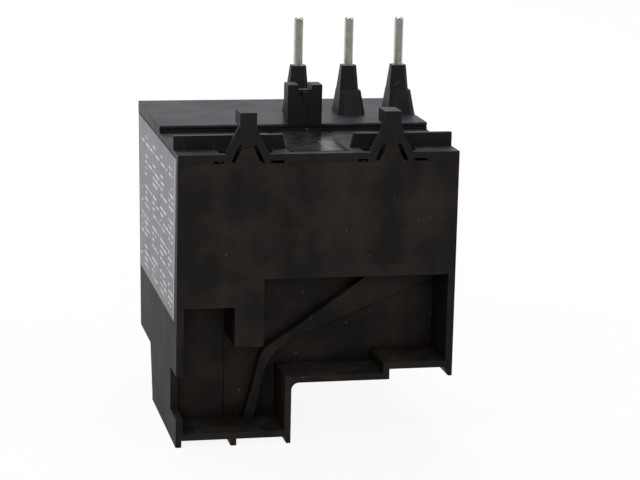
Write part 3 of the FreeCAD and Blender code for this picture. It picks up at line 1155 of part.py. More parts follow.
def make_spring(name, x):
    """Coil drawn as a bellows, from the frame to the button's collar."""
    z = "dim.controlHeight"
    rear = "(dim.frameDepth + dim.frameThick + dim.fit)"
    front = f"({PANEL_UNDER} - dim.collarThick - dim.fit)"
    pitch = f"(({front} - {rear})/dim.springTurns)"
    ridge = "dim.springRadius + dim.springCoil"
    turns = []
    valley = "dim.springRadius"
    for i in range(int(sheet.springTurns)):
        start, middle, end = (f"{rear} + ({i} + {share})*{pitch}" for share in (0, 0.5, 1))
        turns.append(taper(f"{name}_rise_{i}", x, z, (start, middle), valley, ridge))
        turns.append(taper(f"{name}_fall_{i}", x, z, (middle, end), ridge, valley))
    bore = rod(name + "_bore", x, z, (f"{rear} - dim.cutReach", f"{front} + dim.cutReach"),
               "dim.springRadius - dim.springCoil")
    keep(cut(name, fuse(name + "_blank", turns), [bore]), name)


def make_door():
    """Clear sealing door over the control panel, on two stub pins at its lower edge."""
    name = "sealing_door"
    low = "dim.panelLow - dim.hingeRadius - 0.6"
    front = "dim.coverFront + dim.doorGap"
    leaf = box(name + "_leaf", ("dim.panelRight", "dim.panelLeft"), (front, f"{front} + dim.doorThick"),
               (low, "dim.panelHigh + 0.8"))
    knuckle = stud(name + "_knuckle", "dim.coverFront + dim.hingeRadius + dim.doorGap", low,
                   ("dim.panelRight", "dim.panelLeft"), "dim.hingeRadius")
    pin = stud(name + "_pin", "dim.coverFront + dim.hingeRadius + dim.doorGap", low,
               ("dim.panelRight - 1.5", "dim.panelLeft + 1.5"), "dim.hingeRadius/2")
    lip = box(name + "_lip", ("dim.dialAcross + 6", "dim.dialAcross + 12"),
              (f"{front} + dim.doorThick - 0.2", f"{front} + dim.doorThick + 0.8"),
              ("dim.panelHigh - 0.6", "dim.panelHigh + 0.4"))
    keep(fuse(name, [leaf, knuckle, pin, lip]), name)


# ---- build ---------------------------------------------------------------------------------

make_housing()
make_label()
make_top_frame()
make_front_cover()
for pole in POLES:
    make_contact_pin(pole)
    make_bimetal(pole)
    make_glass_sleeve(pole)
    make_winding(pole)
    make_load_terminal(pole)
make_terminal_hardware()
make_slide("trip_slide", "dim.tripSlideLow", "dim.slideEnd")
make_slide("differential_slide", "dim.evenSlideLow", "dim.slideEnd - 1")
make_setting_lever()
make_compensation_strip()
make_pins()
make_trip_lever()
make_trip_flag()
make_mechanism_frame()
make_contact_set("nc", 1, 1, True)
make_contact_set("no", 0, -1, False)
make_dial()
make_button("stop_button", "dim.stopAcross")
make_button("reset_button", "dim.resetAcross")
make_spring("stop_spring", "dim.stopAcross")
make_spring("reset_spring", "dim.resetAcross")
make_door()
doc.recompute()

for item in doc.Objects:
    if "Invalid" in item.State or "Error" in item.State:
        raise ValueError(f"{item.Label}: {item.State}")
os.makedirs("parts", exist_ok=True)
for part in parts:
    if part.Shape.isNull() or not part.Shape.isValid():
        raise ValueError(f"{part.Label}: bad shape")
    part.Shape.exportStep(os.path.join("parts", part.Label + ".step"))
print(len(parts), "parts written")
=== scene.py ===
import json
import math

import bmesh
import bpy
import numpy as np
from mathutils import Matrix, Vector


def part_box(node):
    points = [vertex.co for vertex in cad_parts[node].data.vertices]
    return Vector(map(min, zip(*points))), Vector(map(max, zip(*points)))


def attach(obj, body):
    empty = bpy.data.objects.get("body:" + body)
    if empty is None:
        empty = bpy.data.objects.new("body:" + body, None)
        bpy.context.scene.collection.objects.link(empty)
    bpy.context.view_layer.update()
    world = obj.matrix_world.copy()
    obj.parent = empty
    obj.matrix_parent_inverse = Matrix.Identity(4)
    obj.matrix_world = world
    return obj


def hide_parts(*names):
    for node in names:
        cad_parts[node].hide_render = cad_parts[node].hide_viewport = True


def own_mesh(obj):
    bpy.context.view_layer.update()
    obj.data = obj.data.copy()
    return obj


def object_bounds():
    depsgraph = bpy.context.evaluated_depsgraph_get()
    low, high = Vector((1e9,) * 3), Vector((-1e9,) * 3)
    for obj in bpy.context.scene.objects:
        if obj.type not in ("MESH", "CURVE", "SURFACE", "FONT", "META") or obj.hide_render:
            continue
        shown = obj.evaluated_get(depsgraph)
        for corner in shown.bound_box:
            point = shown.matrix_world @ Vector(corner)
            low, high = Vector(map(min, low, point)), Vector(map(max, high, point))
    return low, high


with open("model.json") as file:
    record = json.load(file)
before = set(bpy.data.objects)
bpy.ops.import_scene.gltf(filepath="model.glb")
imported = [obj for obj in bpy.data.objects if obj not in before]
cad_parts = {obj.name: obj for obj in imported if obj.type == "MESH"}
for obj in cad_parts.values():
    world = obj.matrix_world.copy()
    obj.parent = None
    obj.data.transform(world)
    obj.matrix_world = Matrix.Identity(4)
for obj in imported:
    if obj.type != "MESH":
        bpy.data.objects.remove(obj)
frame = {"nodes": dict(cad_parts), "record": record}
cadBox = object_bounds()
mm = 0.001
nodeBody = {node: body for body, nodes in frame["record"]["behaviour"]["bodies"].items() for node in nodes}
nodeSlot = {part["node"]: part["material_slot"] for part in frame["record"]["subparts"]}
print("frame loaded:", len(frame["nodes"]), "nodes")


# colours and shader nodes

# sRGB hex to linear: c / 12.92 below 0.04045, else ((c + 0.055) / 1.055) to the power 2.4.
def hexColour(text):
    channels = [int(text[i:i + 2], 16) / 255 for i in (1, 3, 5)]
    return tuple(c / 12.92 if c <= 0.04045 else ((c + 0.055) / 1.055) ** 2.4 for c in channels) + (1.0,)


# Adds one shader node, with its settings, its socket values and the sockets that feed it.
def addNode(tree, kind, values=None, links=None, **settings):
    node = tree.nodes.new(kind)
    for name, value in settings.items():
        setattr(node, name, value)
    for socket, value in (values or {}).items():
        node.inputs[socket].default_value = value
    for socket, source in (links or {}).items():
        tree.links.new(source, node.inputs[socket])
    return node


def newMaterial(name):
    material = bpy.data.materials.new(name)
    material.use_nodes = True
    material.node_tree.nodes.clear()
    return material, material.node_tree


def closeMaterial(tree, shader):
    addNode(tree, "ShaderNodeOutputMaterial", links={"Surface": shader})


# Noise with blotches about sizeMm across, longer where stretch is over 1.
def noiseAt(tree, vector, sizeMm, detail=3.0, stretch=(1, 1, 1)):
    scale = tuple(1 / (sizeMm * mm * s) for s in stretch)
    mapping = addNode(tree, "ShaderNodeMapping", {"Scale": scale}, {"Vector": vector})
    return addNode(tree, "ShaderNodeTexNoise", {"Scale": 1.0, "Detail": detail, "Roughness": 0.6},
                   {"Vector": mapping.outputs[0]}).outputs["Fac"]


def ramp(tree, source, low, high, out=(0.0, 1.0)):
    return addNode(tree, "ShaderNodeMapRange", {1: low, 2: high, 3: out[0], 4: out[1]}, {0: source}).outputs[0]


def mathOf(tree, operation, first, second):
    links = {i: v for i, v in enumerate((first, second)) if not isinstance(v, (int, float))}
    values = {i: v for i, v in enumerate((first, second)) if isinstance(v, (int, float))}
    return addNode(tree, "ShaderNodeMath", values, links, operation=operation).outputs[0]


# Mixes two colours; each is a hex text or a socket.
def mixColour(tree, factor, first, second):
    node = addNode(tree, "ShaderNodeMix", data_type="RGBA", links={0: factor})
    for socket, colour in ((6, first), (7, second)):
        if isinstance(colour, str):
            node.inputs[socket].default_value = hexColour(colour)
        else:
            tree.links.new(colour, node.inputs[socket])
    return node.outputs[2]


# 1 on sharp edges, 0 on flats: one minus the dot product of the true and the rounded normal.
def edgeMask(tree, radiusMm):
    bevel = addNode(tree, "ShaderNodeBevel", {"Radius": radiusMm * mm}, samples=4)
    geometry = addNode(tree, "ShaderNodeNewGeometry")
    dot = addNode(tree, "ShaderNodeVectorMath", links={0: bevel.outputs[0], 1: geometry.outputs["Normal"]},
                  operation="DOT_PRODUCT").outputs["Value"]
    return ramp(tree, dot, 0.995, 0.85)


# materials

# Injection moulding: fine spark-eroded grain, hand smudges, dust where it can lie, paler worn edges, and painted
# shade that darkens its corners and recesses.
def mouldedPlastic(name, look):
    material, tree = newMaterial(name)
    place = addNode(tree, "ShaderNodeTexCoord").outputs["Object"]
    normal = addNode(tree, "ShaderNodeNewGeometry").outputs["Normal"]
    smudge = ramp(tree, noiseAt(tree, place, look["smudgeMm"], 4.0), 0.42, 0.7)
    flow = ramp(tree, noiseAt(tree, place, look["smudgeMm"] * 0.8, 2.0, (1, 1, 5)), 0.45, 0.75)
    speck = ramp(tree, noiseAt(tree, place, look["grainMm"] * 3, 1.0), 0.745, 0.79)
    handled = mixColour(tree, mathOf(tree, "MULTIPLY", smudge, look["smudge"]), look["colour"], look["smudged"])
    streaked = mixColour(tree, mathOf(tree, "MULTIPLY", flow, look["smudge"] * 0.5), handled, look["smudged"])
    up = addNode(tree, "ShaderNodeSeparateXYZ", links={0: normal}).outputs["Z"]
    lying = mathOf(tree, "MULTIPLY", ramp(tree, up, 0.3, 0.95),
                   ramp(tree, noiseAt(tree, place, 2.4, 5.0), 0.35, 0.85))
    dust = mathOf(tree, "MAXIMUM", mathOf(tree, "MULTIPLY", lying, look["dust"]),
                  mathOf(tree, "MULTIPLY", speck, look["speck"]))
    dusty = mixColour(tree, dust, streaked, look["dustColour"])
    worn = mathOf(tree, "MULTIPLY", edgeMask(tree, look["edgeMm"]), look["wear"])
    handledColour = mixColour(tree, worn, dusty, look["worn"])
    # painted shade: ambient occlusion darkens the colour in corners and recesses, by the share corner, towards a
    # darker shade colour
    shadeOcclusion = addNode(tree, "ShaderNodeAmbientOcclusion", {"Distance": look.get("paintedShadeMm", 2.0) * mm}, samples=4)
    corner = ramp(tree, shadeOcclusion.outputs["AO"], 0.75, 0.3, (0.0, look.get("corner", 0.3)))
    colour = mixColour(tree, corner, handledColour, look.get("paintedShadeColour", look["smudged"]))
    grain = noiseAt(tree, place, look["grainMm"], 2.0)
    roughness = ramp(tree, mathOf(tree, "ADD", smudge, mathOf(tree, "MULTIPLY", dust, 1.2)), 0.0, 1.6,
                     (look["roughness"], look["roughness"] + 0.16))
    rounded = addNode(tree, "ShaderNodeBevel", {"Radius": look["edgeMm"] * mm}, samples=4).outputs[0]
    bump = addNode(tree, "ShaderNodeBump", {"Strength": look["bump"], "Distance": 0.02 * mm},
                   {"Height": grain, "Normal": rounded}).outputs[0]
    shader = addNode(tree, "ShaderNodeBsdfPrincipled",
                     {"IOR": look["ior"], "Metallic": 0.0, "Specular IOR Level": look.get("specular", 0.25)},
                     {"Base Color": colour, "Roughness": roughness, "Normal": bump})
    closeMaterial(tree, shader.outputs[0])
    return material


plasticLooks = {
    # glass-filled polyamide, satin from the mould: near black, a little brown where hands have been, with strong
    # painted shade in its recesses
    "black_moulding": ("glassFilledPolyamide", dict(
        colour="#131110", smudged="#28221e", worn="#3b3835", dustColour="#6a645c", smudge=0.7, dust=0.16,
        speck=0.45, wear=0.25, smudgeMm=9.0, grainMm=0.22, bump=0.3, roughness=0.5, edgeMm=0.12, ior=1.53,
        specular=0.12, paintedShadeMm=3.0, corner=0.85, paintedShadeColour="#060505")),
    # unfilled polyamide cover, a shade lighter and cleaner
    "cover_moulding": ("polyamideCover", dict(
        colour="#1d1e21", smudged="#2a2927", worn="#45443f", dustColour="#6a645c", smudge=0.4, dust=0.2,
        speck=0.25, wear=0.3, smudgeMm=7.0, grainMm=0.2, bump=0.3, roughness=0.46, edgeMm=0.15, ior=1.53)),
    # natural polyester, cream and slightly waxy
    "slide_plastic": ("naturalPolyester", dict(
        colour="#cfc5ae", smudged="#bcae92", worn="#e4dcc8", dustColour="#a89c84", smudge=0.4, dust=0.2,
        speck=0.1, wear=0.3, smudgeMm=4.0, grainMm=0.15, bump=0.2, roughness=0.38, edgeMm=0.1, ior=1.57)),
    # grey acetal levers
    "lever_plastic": ("greyAcetal", dict(
        colour="#56585c", smudged="#4a4a49", worn="#7b7d80", dustColour="#8a8378", smudge=0.35, dust=0.2,
        speck=0.1, wear=0.3, smudgeMm=4.0, grainMm=0.15, bump=0.2, roughness=0.36, edgeMm=0.1, ior=1.48)),
    # white dial, yellowed a little round the driver slot
    "dial_plastic": ("whitePolycarbonate", dict(
        colour="#dcdcd6", smudged="#c3bda9", worn="#f0f0ec", dustColour="#9a9284", smudge=0.35, dust=0.25,
        speck=0.1, wear=0.3, smudgeMm=3.0, grainMm=0.12, bump=0.15, roughness=0.34, edgeMm=0.12, ior=1.58)),
    # red acetal cap: the one strong warm spot on the front
    "red_button": ("redAcetal", dict(
        colour="#a81c16", smudged="#8c1a15", worn="#cf5148", dustColour="#a08a80", smudge=0.3, dust=0.2,
        speck=0.1, wear=0.35, smudgeMm=2.5, grainMm=0.12, bump=0.12, roughness=0.28, edgeMm=0.12, ior=1.48)),
    # blue acetal cap beside it, as smooth
    "blue_button": ("blueAcetal", dict(
        colour="#1f4f9c", smudged="#1b437f", worn="#5a82bd", dustColour="#8c94a0", smudge=0.3, dust=0.2,
        speck=0.1, wear=0.35, smudgeMm=2.5, grainMm=0.12, bump=0.12, roughness=0.28, edgeMm=0.12, ior=1.48)),
    # orange acetal: the trip flag stands out in its dark window
    "flag_plastic": ("orangeAcetal", dict(
        colour="#d9701a", smudged="#b85f1a", worn="#eda25f", dustColour="#a08a70", smudge=0.3, dust=0.2,
        speck=0.1, wear=0.3, smudgeMm=2.0, grainMm=0.12, bump=0.12, roughness=0.34, edgeMm=0.1, ior=1.48)),
}


# Plated, drawn or rolled metal: fine lines along the working direction, tarnish in soft blotches.
def plainMetal(name, look):
    material, tree = newMaterial(name)
    place = addNode(tree, "ShaderNodeTexCoord").outputs["Object"]
    tarnish = ramp(tree, noiseAt(tree, place, look["tarnishMm"], 4.0), 0.42, 0.72)
    lines = noiseAt(tree, place, look["lineMm"], 2.0, look["along"])
    edge = mathOf(tree, "MULTIPLY", edgeMask(tree, 0.08), look.get("wear", 0.5))
    dulled = mixColour(tree, mathOf(tree, "MULTIPLY", tarnish, look["tarnish"]), look["colour"], look["tarnished"])
    colour = mixColour(tree, edge, dulled, look["bright"])
    roughness = ramp(tree, mathOf(tree, "ADD", mathOf(tree, "MULTIPLY", tarnish, 0.6), lines), 0.2, 1.3,
                     (look["roughness"], look["roughness"] + 0.2))
    links = {"Height": lines}
    if look.get("rounded", 1.0):
        links["Normal"] = addNode(tree, "ShaderNodeBevel", {"Radius": 0.08 * mm}, samples=4).outputs[0]
    bump = addNode(tree, "ShaderNodeBump", {"Strength": look["bump"], "Distance": 0.01 * mm}, links).outputs[0]
    shader = addNode(tree, "ShaderNodeBsdfPrincipled", {"Metallic": 1.0},
                     {"Base Color": colour, "Roughness": roughness, "Normal": bump})
    closeMaterial(tree, shader.outputs[0])
    return material


metalLooks = {
    # tin on copper, turned then plated: bright, with faint drawing lines up the pin
    "tinned_pin": ("tinPlatedCopper", dict(
        colour="#cfcdc6", tarnished="#a39e90", bright="#dcdad4", tarnish=0.5, tarnishMm=1.6,
        lineMm=0.12, along=(1, 1, 18), bump=0.0, roughness=0.1, wear=0.0, rounded=0.0)),
    # tinned copper bars, with copper showing where the tin is thin
    "tinned_copper": ("tinnedCopperStrip", dict(
        colour="#b9a58c", tarnished="#8f6a4b", bright="#e2cdb2", tarnish=0.5, tarnishMm=2.5,
        lineMm=0.1, along=(1, 12, 1), bump=0.3, roughness=0.28)),
    # two bonded alloys, rolled: warm grey with lines along the strip
    "bimetal": ("rolledBimetal", dict(
        colour="#a39b8c", tarnished="#7d6f5c", bright="#cfc8b8", tarnish=0.5, tarnishMm=3.0,
        lineMm=0.1, along=(1, 1, 12), bump=0.3, roughness=0.32)),
    # resistance alloy browned by heat
    "heater_ribbon": ("oxidisedResistanceRibbon", dict(
        colour="#7f7c76", tarnished="#4f463c", bright="#aaa69d", tarnish=0.6, tarnishMm=1.5,
        lineMm=0.08, along=(10, 10, 1), bump=0.3, roughness=0.36)),
    # bright zinc on steel: the lightest metal in the terminals
    "zinc_screw": ("zincPlatedSteel", dict(
        colour="#c2c1bb", tarnished="#9a958a", bright="#e6e6e0", tarnish=0.45, tarnishMm=1.4,
        lineMm=0.12, along=(1, 1, 1), bump=0.3, roughness=0.26)),
    # drawn pivot wire, smooth and cool grey
    "steel_pin": ("drawnSteelWire", dict(
        colour="#b0b0ae", tarnished="#8a8884", bright="#dadad8", tarnish=0.35, tarnishMm=2.0,
        lineMm=0.08, along=(1, 14, 1), bump=0.3, roughness=0.22)),
    # spring bronze: the warm tone among the contacts
    "contact_bronze": ("phosphorBronzeStrip", dict(
        colour="#b98a5a", tarnished="#8c5f3a", bright="#dcb386", tarnish=0.45, tarnishMm=2.0,
        lineMm=0.09, along=(1, 1, 12), bump=0.3, roughness=0.28)),
    # hard drawn wire, a shade darker than the pins
    "spring_steel": ("springWire", dict(
        colour="#a8a8a6", tarnished="#7f7d79", bright="#d2d2d0", tarnish=0.35, tarnishMm=1.0,
        lineMm=0.05, along=(1, 1, 1), bump=0.2, roughness=0.24)),
}


# Glass-fibre sleeve: cream yarns crossing on the slant, matt.
def wovenGlass():
    material, tree = newMaterial("braidedGlassSleeve")
    yarnMm = 0.35
    place = addNode(tree, "ShaderNodeTexCoord").outputs["Object"]
    waves = []
    for tilt in (45, -45):
        turned = addNode(tree, "ShaderNodeMapping", {"Rotation": (math.radians(tilt), math.radians(tilt), 0)},
                         {"Vector": place}).outputs[0]
        waves.append(addNode(tree, "ShaderNodeTexWave", {"Scale": math.pi / (10 * yarnMm * mm), "Distortion": 0.4},
                             {"Vector": turned}, bands_direction="Z").outputs["Fac"])
    weave = mathOf(tree, "MAXIMUM", waves[0], waves[1])
    colour = mixColour(tree, weave, "#9d9073", "#e2dac2")
    bump = addNode(tree, "ShaderNodeBump", {"Strength": 0.6, "Distance": 0.06 * mm}, {"Height": weave}).outputs[0]
    shader = addNode(tree, "ShaderNodeBsdfPrincipled", {"Roughness": 0.85, "IOR": 1.5},
                     {"Base Color": colour, "Normal": bump})
    closeMaterial(tree, shader.outputs[0])
    return material


# Clear door: polished, a few fine scratches and finger marks that dull it in patches.
def clearPolycarbonate():
    material, tree = newMaterial("clearPolycarbonate")
    place = addNode(tree, "ShaderNodeTexCoord").outputs["Object"]
    marks = ramp(tree, noiseAt(tree, place, 5.0, 4.0), 0.5, 0.75, (0.01, 0.07))
    scratch = noiseAt(tree, place, 0.15, 1.0, (12, 1, 1))
    bump = addNode(tree, "ShaderNodeBump", {"Strength": 0.06, "Distance": 0.01 * mm},
                   {"Height": scratch}).outputs[0]
    shader = addNode(tree, "ShaderNodeBsdfPrincipled",
                     {"Base Color": hexColour("#eef4f5"), "IOR": 1.58, "Transmission Weight": 1.0},
                     {"Roughness": marks, "Normal": bump})
    closeMaterial(tree, shader.outputs[0])
    return material


label = {
    "film": "#7b7c82", "filmShade": "#696b71", "print": "#e6e7ea", "inkShare": 0.75,
    "lowMm": -30.4, "highMm": -7.2, "rearMm": -4.5, "frontMm": -42.0, "ruleMm": (-3.6, -3.3),
    "rowMm": 1.05, "wordMm": 0.8, "columnMm": 9.4,
    "barShare": (0.32, 0.68),  # where a bar lies within its row, from 0 to 1
    "lineShare": (0.15, 0.95),  # shortest and longest line, as a share of the column
    "gaps": 0.22,  # share of the words left out
    "groupRows": 5,  # every so many rows one is left empty
}


# 1 where a value lies between two others.
def between(tree, value, low, high):
    return mathOf(tree, "MULTIPLY", mathOf(tree, "GREATER_THAN", value, low),
                  mathOf(tree, "LESS_THAN", value, high))


# How far a place lies within its step of a repeat, from 0 to 1.
def shareOf(tree, value, stepMm):
    return mathOf(tree, "FRACT", mathOf(tree, "MULTIPLY", value, 1 / (stepMm * mm)), 0.0)


# A number from 0 to 1 for each cell of a grid over depth and height.
def cellNumber(tree, place, depthMm, heightMm):
    scale = (0, 1 / (depthMm * mm), 1 / (heightMm * mm))
    cell = addNode(tree, "ShaderNodeMapping", {"Scale": scale}, {"Vector": place}).outputs[0]
    whole = addNode(tree, "ShaderNodeVectorMath", links={0: cell}, operation="FLOOR").outputs[0]
    return addNode(tree, "ShaderNodeTexWhiteNoise", links={0: whole}, noise_dimensions="3D").outputs["Value"]


# Matt silver polyester with a generic printed table: columns of plain bars that say nothing.
def labelFilm():
    material, tree = newMaterial("silverPolyesterFilm")
    place = addNode(tree, "ShaderNodeTexCoord").outputs["Object"]
    parts = addNode(tree, "ShaderNodeSeparateXYZ", links={0: place})
    depth, height = parts.outputs["Y"], parts.outputs["Z"]
    row, column = label["rowMm"], label["columnMm"]
    word = mathOf(tree, "GREATER_THAN", cellNumber(tree, place, label["wordMm"], row), label["gaps"])
    length = ramp(tree, cellNumber(tree, place, column, row), 0.0, 1.0, label["lineShare"])
    line = mathOf(tree, "LESS_THAN", shareOf(tree, depth, column), length)
    group = mathOf(tree, "GREATER_THAN", shareOf(tree, height, row * label["groupRows"]), 1 / label["groupRows"])
    bars = between(tree, shareOf(tree, height, row), *label["barShare"])
    for share in (word, line, group, between(tree, height, label["lowMm"] * mm, label["highMm"] * mm),
                  between(tree, depth, label["frontMm"] * mm, label["rearMm"] * mm)):
        bars = mathOf(tree, "MULTIPLY", bars, share)
    rule = between(tree, depth, label["ruleMm"][0] * mm, label["ruleMm"][1] * mm)
    printed = mathOf(tree, "MULTIPLY", mathOf(tree, "MAXIMUM", bars, rule), label["inkShare"])
    shade = ramp(tree, noiseAt(tree, place, 6.0, 3.0), 0.35, 0.75)
    film = mixColour(tree, shade, label["film"], label["filmShade"])
    colour = mixColour(tree, printed, film, label["print"])
    brush = noiseAt(tree, place, 0.1, 2.0, (1, 10, 1))
    roughness = ramp(tree, brush, 0.3, 0.7, (0.36, 0.5))
    shader = addNode(tree, "ShaderNodeBsdfPrincipled", {"Metallic": 0.35, "IOR": 1.5},
                     {"Base Color": colour, "Roughness": roughness})
    closeMaterial(tree, shader.outputs[0])
    return material


materials = {slot: mouldedPlastic(name, look) for slot, (name, look) in plasticLooks.items()}
materials.update({slot: plainMetal(name, look) for slot, (name, look) in metalLooks.items()})
materials["glass_braid"] = wovenGlass()
materials["clear_door"] = clearPolycarbonate()
materials["silver_label"] = labelFilm()

# the top moulding is cleaner and a little glossier than the housing, with cool grey dust on its flats and painted
# shade in its corners
topPlastic = mouldedPlastic("polishedPolyamideTop", dict(
    colour="#141415", smudged="#1e1d1c", worn="#37373a", dustColour="#5a6272", smudge=0.45, dust=0.42,
    speck=0.5, wear=0.35, smudgeMm=10.0, grainMm=0.25, bump=0.2, roughness=0.4, edgeMm=0.12, ior=1.53,
    specular=0.12, corner=0.6, paintedShadeColour="#08080a"))
# the same polyamide polished by the mould's core: gives the hollow its bright streaks
troughPlastic = mouldedPlastic("glossyPolyamideTrough", dict(
    colour="#14161b", smudged="#1f2127", worn="#34363a", dustColour="#8a8880", smudge=0.4, dust=0.2,
    speck=0.6, wear=0.2, smudgeMm=3.0, grainMm=0.25, bump=0.08, roughness=0.2, edgeMm=0.05, ior=1.53,
    specular=0.15))
# the same painted pale and smooth in one patch: a painted reflection of the lamp overhead in the hollow
paintedReflectionPlastic = mouldedPlastic("paintedReflectionPolyamide", dict(
    colour="#474a51", smudged="#3b3e45", worn="#54575d", dustColour="#8a8880", smudge=0.5, dust=0.1,
    speck=0.1, wear=0.1, smudgeMm=2.0, grainMm=0.2, bump=0.1, roughness=0.25, edgeMm=0.05, ior=1.53))
# black ink pad-printed on the white dial: gives it its only fine dark marks
dialInk = mouldedPlastic("blackPrintingInk", dict(
    colour="#1c1c1e", smudged="#3a3a3c", worn="#55555a", dustColour="#8a8880", smudge=0.5, dust=0.1,
    speck=0.1, wear=0.1, smudgeMm=0.8, grainMm=0.08, bump=0.1, roughness=0.5, edgeMm=0.02, ior=1.5))
print("materials:", len(materials))


def linked(name, data):
    thing = bpy.data.objects.new(name, data)
    bpy.context.scene.collection.objects.link(thing)
    return thing


# rounded copies of the CAD nodes

rounding = {
    "widthMm": 0.14, "segments": 2,
    "share": 0.42,  # most of the shortest edge at a corner that the rounding may take
    "sharpDeg": 28.0,  # edges that turn more than this are rounded
    "flatDeg": 0.6,  # faces that turn less than this are joined
    "mergeMm": 0.0005,
}
keptAsTheyAre = ("side_label",)
redrawn = ("stop_spring", "reset_spring", "load_screws", "aux_screws")
# mouldings with holes in large faces: their faces aren't joined, and their rounding is left to the material
unjoined = ("top_frame", "main_housing", "front_cover")


# Bevel weight of an edge: share of the shortest edge that meets it, over the full bevel width, at most 1.
def edgeWeights(mesh):
    count = len(mesh.edges)
    ends = np.zeros(count * 2, np.int32)
    mesh.edges.foreach_get("vertices", ends)
    ends = ends.reshape(-1, 2)
    co = np.zeros(len(mesh.vertices) * 3)
    mesh.vertices.foreach_get("co", co)
    co = co.reshape(-1, 3)
    length = np.linalg.norm(co[ends[:, 0]] - co[ends[:, 1]], axis=1)
    shortest = np.full(len(co), 1e9)
    np.minimum.at(shortest, ends[:, 0], length)
    np.minimum.at(shortest, ends[:, 1], length)
    room = np.minimum(shortest[ends[:, 0]], shortest[ends[:, 1]])
    return np.clip(rounding["share"] * room / (rounding["widthMm"] * mm), 0, 1)


# A copy of a CAD node with its doubles merged, flat faces joined and its sharp edges rounded.
def roundedCopy(node):
    source = frame["nodes"][node]
    mesh = source.data.copy()
    work = bmesh.new()
    work.from_mesh(mesh)
    bmesh.ops.remove_doubles(work, verts=work.verts, dist=rounding["mergeMm"] * mm)
    if node not in unjoined:
        bmesh.ops.dissolve_limit(work, angle_limit=math.radians(rounding["flatDeg"]), verts=work.verts,
                                 edges=work.edges, delimit=set())
    sharp = math.radians(rounding["sharpDeg"])
    for face in work.faces:
        face.smooth = True
    edges = [edge for edge in work.edges if edge.is_manifold and edge.calc_face_angle(0) > sharp]
    chosen = {edge.index for edge in edges}
    for edge in edges:
        edge.smooth = node not in unjoined
    work.to_mesh(mesh)
    work.free()
    if node in unjoined:
        return linked(node + "_finish", mesh)
    weights = edgeWeights(mesh)
    marks = np.zeros(len(mesh.edges))
    marks[list(chosen)] = weights[list(chosen)]
    mesh.attributes.new("bevel_weight_edge", "FLOAT", "EDGE").data.foreach_set("value", marks.astype(np.float32))
    piece = linked(node + "_finish", mesh)
    bevel = piece.modifiers.new("edges", "BEVEL")
    bevel.limit_method = "WEIGHT"
    bevel.width = rounding["widthMm"] * mm
    bevel.segments = rounding["segments"]
    bevel.use_clamp_overlap = False
    bevel.harden_normals = True
    return piece


def setMaterial(piece, slot):
    piece.data.materials.clear()
    piece.data.materials.append(materials[slot])


for node, cadObject in frame["nodes"].items():
    if node in redrawn:
        continue
    if node in keptAsTheyAre:
        setMaterial(cadObject, nodeSlot[node])
        continue
    copy = roundedCopy(node)
    setMaterial(copy, nodeSlot[node])
    if node == "top_frame":
        copy.data.materials[0] = topPlastic
    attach(copy, nodeBody[node])
    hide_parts(node)
print("finished copies of the moulded and pressed pieces")


# pieces drawn from surfaces

def addPiece(name, mesh, slot, body, material=None):
    piece = linked(name, mesh)
    setMaterial(piece, slot)
    if material is not None:
        mesh.materials[0] = material
    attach(piece, body)
    return piece


# A mesh from a grid of points in millimetres, rows by columns; around joins the last column to the first.
def gridMesh(name, points, around=False, flip=False):
    rows, columns = points.shape[:2]
    across = columns if around else columns - 1
    r, c = np.meshgrid(np.arange(rows - 1), np.arange(across), indexing="ij")
    nextC = (c + 1) % columns
    quads = np.stack([r * columns + c, r * columns + nextC, (r + 1) * columns + nextC, (r + 1) * columns + c], -1)
    quads = quads.reshape(-1, 4)
    if flip:
        quads = quads[:, ::-1]
    mesh = bpy.data.meshes.new(name)
    mesh.from_pydata((points.reshape(-1, 3) * mm).tolist(), [], quads.tolist())
    mesh.shade_smooth()
    return mesh


# One mesh from several, with its poles closed and its faces outwards.
def joinMeshes(name, meshes):
    work = bmesh.new()
    for mesh in meshes:
        work.from_mesh(mesh)
    joined = bpy.data.meshes.new(name)
    bmesh.ops.remove_doubles(work, verts=work.verts, dist=1e-7)
    bmesh.ops.recalc_face_normals(work, faces=work.faces)
    work.to_mesh(joined)
    work.free()
    joined.shade_smooth()
    return joined


pin = {"firstMm": -20.2, "pitchMm": 8.71, "depthMm": 32.5, "radiusMm": 0.77, "footMm": 4.7, "topMm": 13.02,
       "roundMm": 0.36, "sides": 40, "straightRings": 12, "roundRings": 9}


# Pin outside its sleeve: straight, then a quarter circle to the flat tip.
def makePinSkins():
    for index in range(3):
        turn = np.linspace(0, math.pi / 2, pin["roundRings"])
        rings = pin["straightRings"]
        flat = pin["radiusMm"] - pin["roundMm"]
        radius = np.concatenate([[pin["radiusMm"]] * rings, pin["radiusMm"] - pin["roundMm"] * (1 - np.cos(turn)),
                                 [flat * 0.5, 0.0]])
        low = pin["topMm"] - pin["roundMm"]
        height = np.concatenate([np.linspace(pin["footMm"], low, rings), low + pin["roundMm"] * np.sin(turn),
                                 [pin["topMm"], pin["topMm"]]])
        angle = np.linspace(0, 2 * math.pi, pin["sides"], endpoint=False)
        x = pin["firstMm"] + index * pin["pitchMm"] + radius[:, None] * np.cos(angle)
        y = -pin["depthMm"] + radius[:, None] * np.sin(angle)
        z = np.broadcast_to(height[:, None], x.shape)
        node = f"contact_pin_{index + 1}"
        skin = joinMeshes("pinSkin", [gridMesh("pinSkin", np.stack([x, y, z], -1), around=True)])
        addPiece(f"pinSkin{index + 1}", skin, nodeSlot[node], nodeBody[node])


spring = {
    "turns": 6.5, "wireMm": 0.24,
    "endShare": 0.12,  # share of the wire in each closed end
    "endPitch": 1.1,  # pitch of a closed end, in wire radii
    "sides": 10, "stepsPerTurn": 28, "travelMm": 2.0,
}


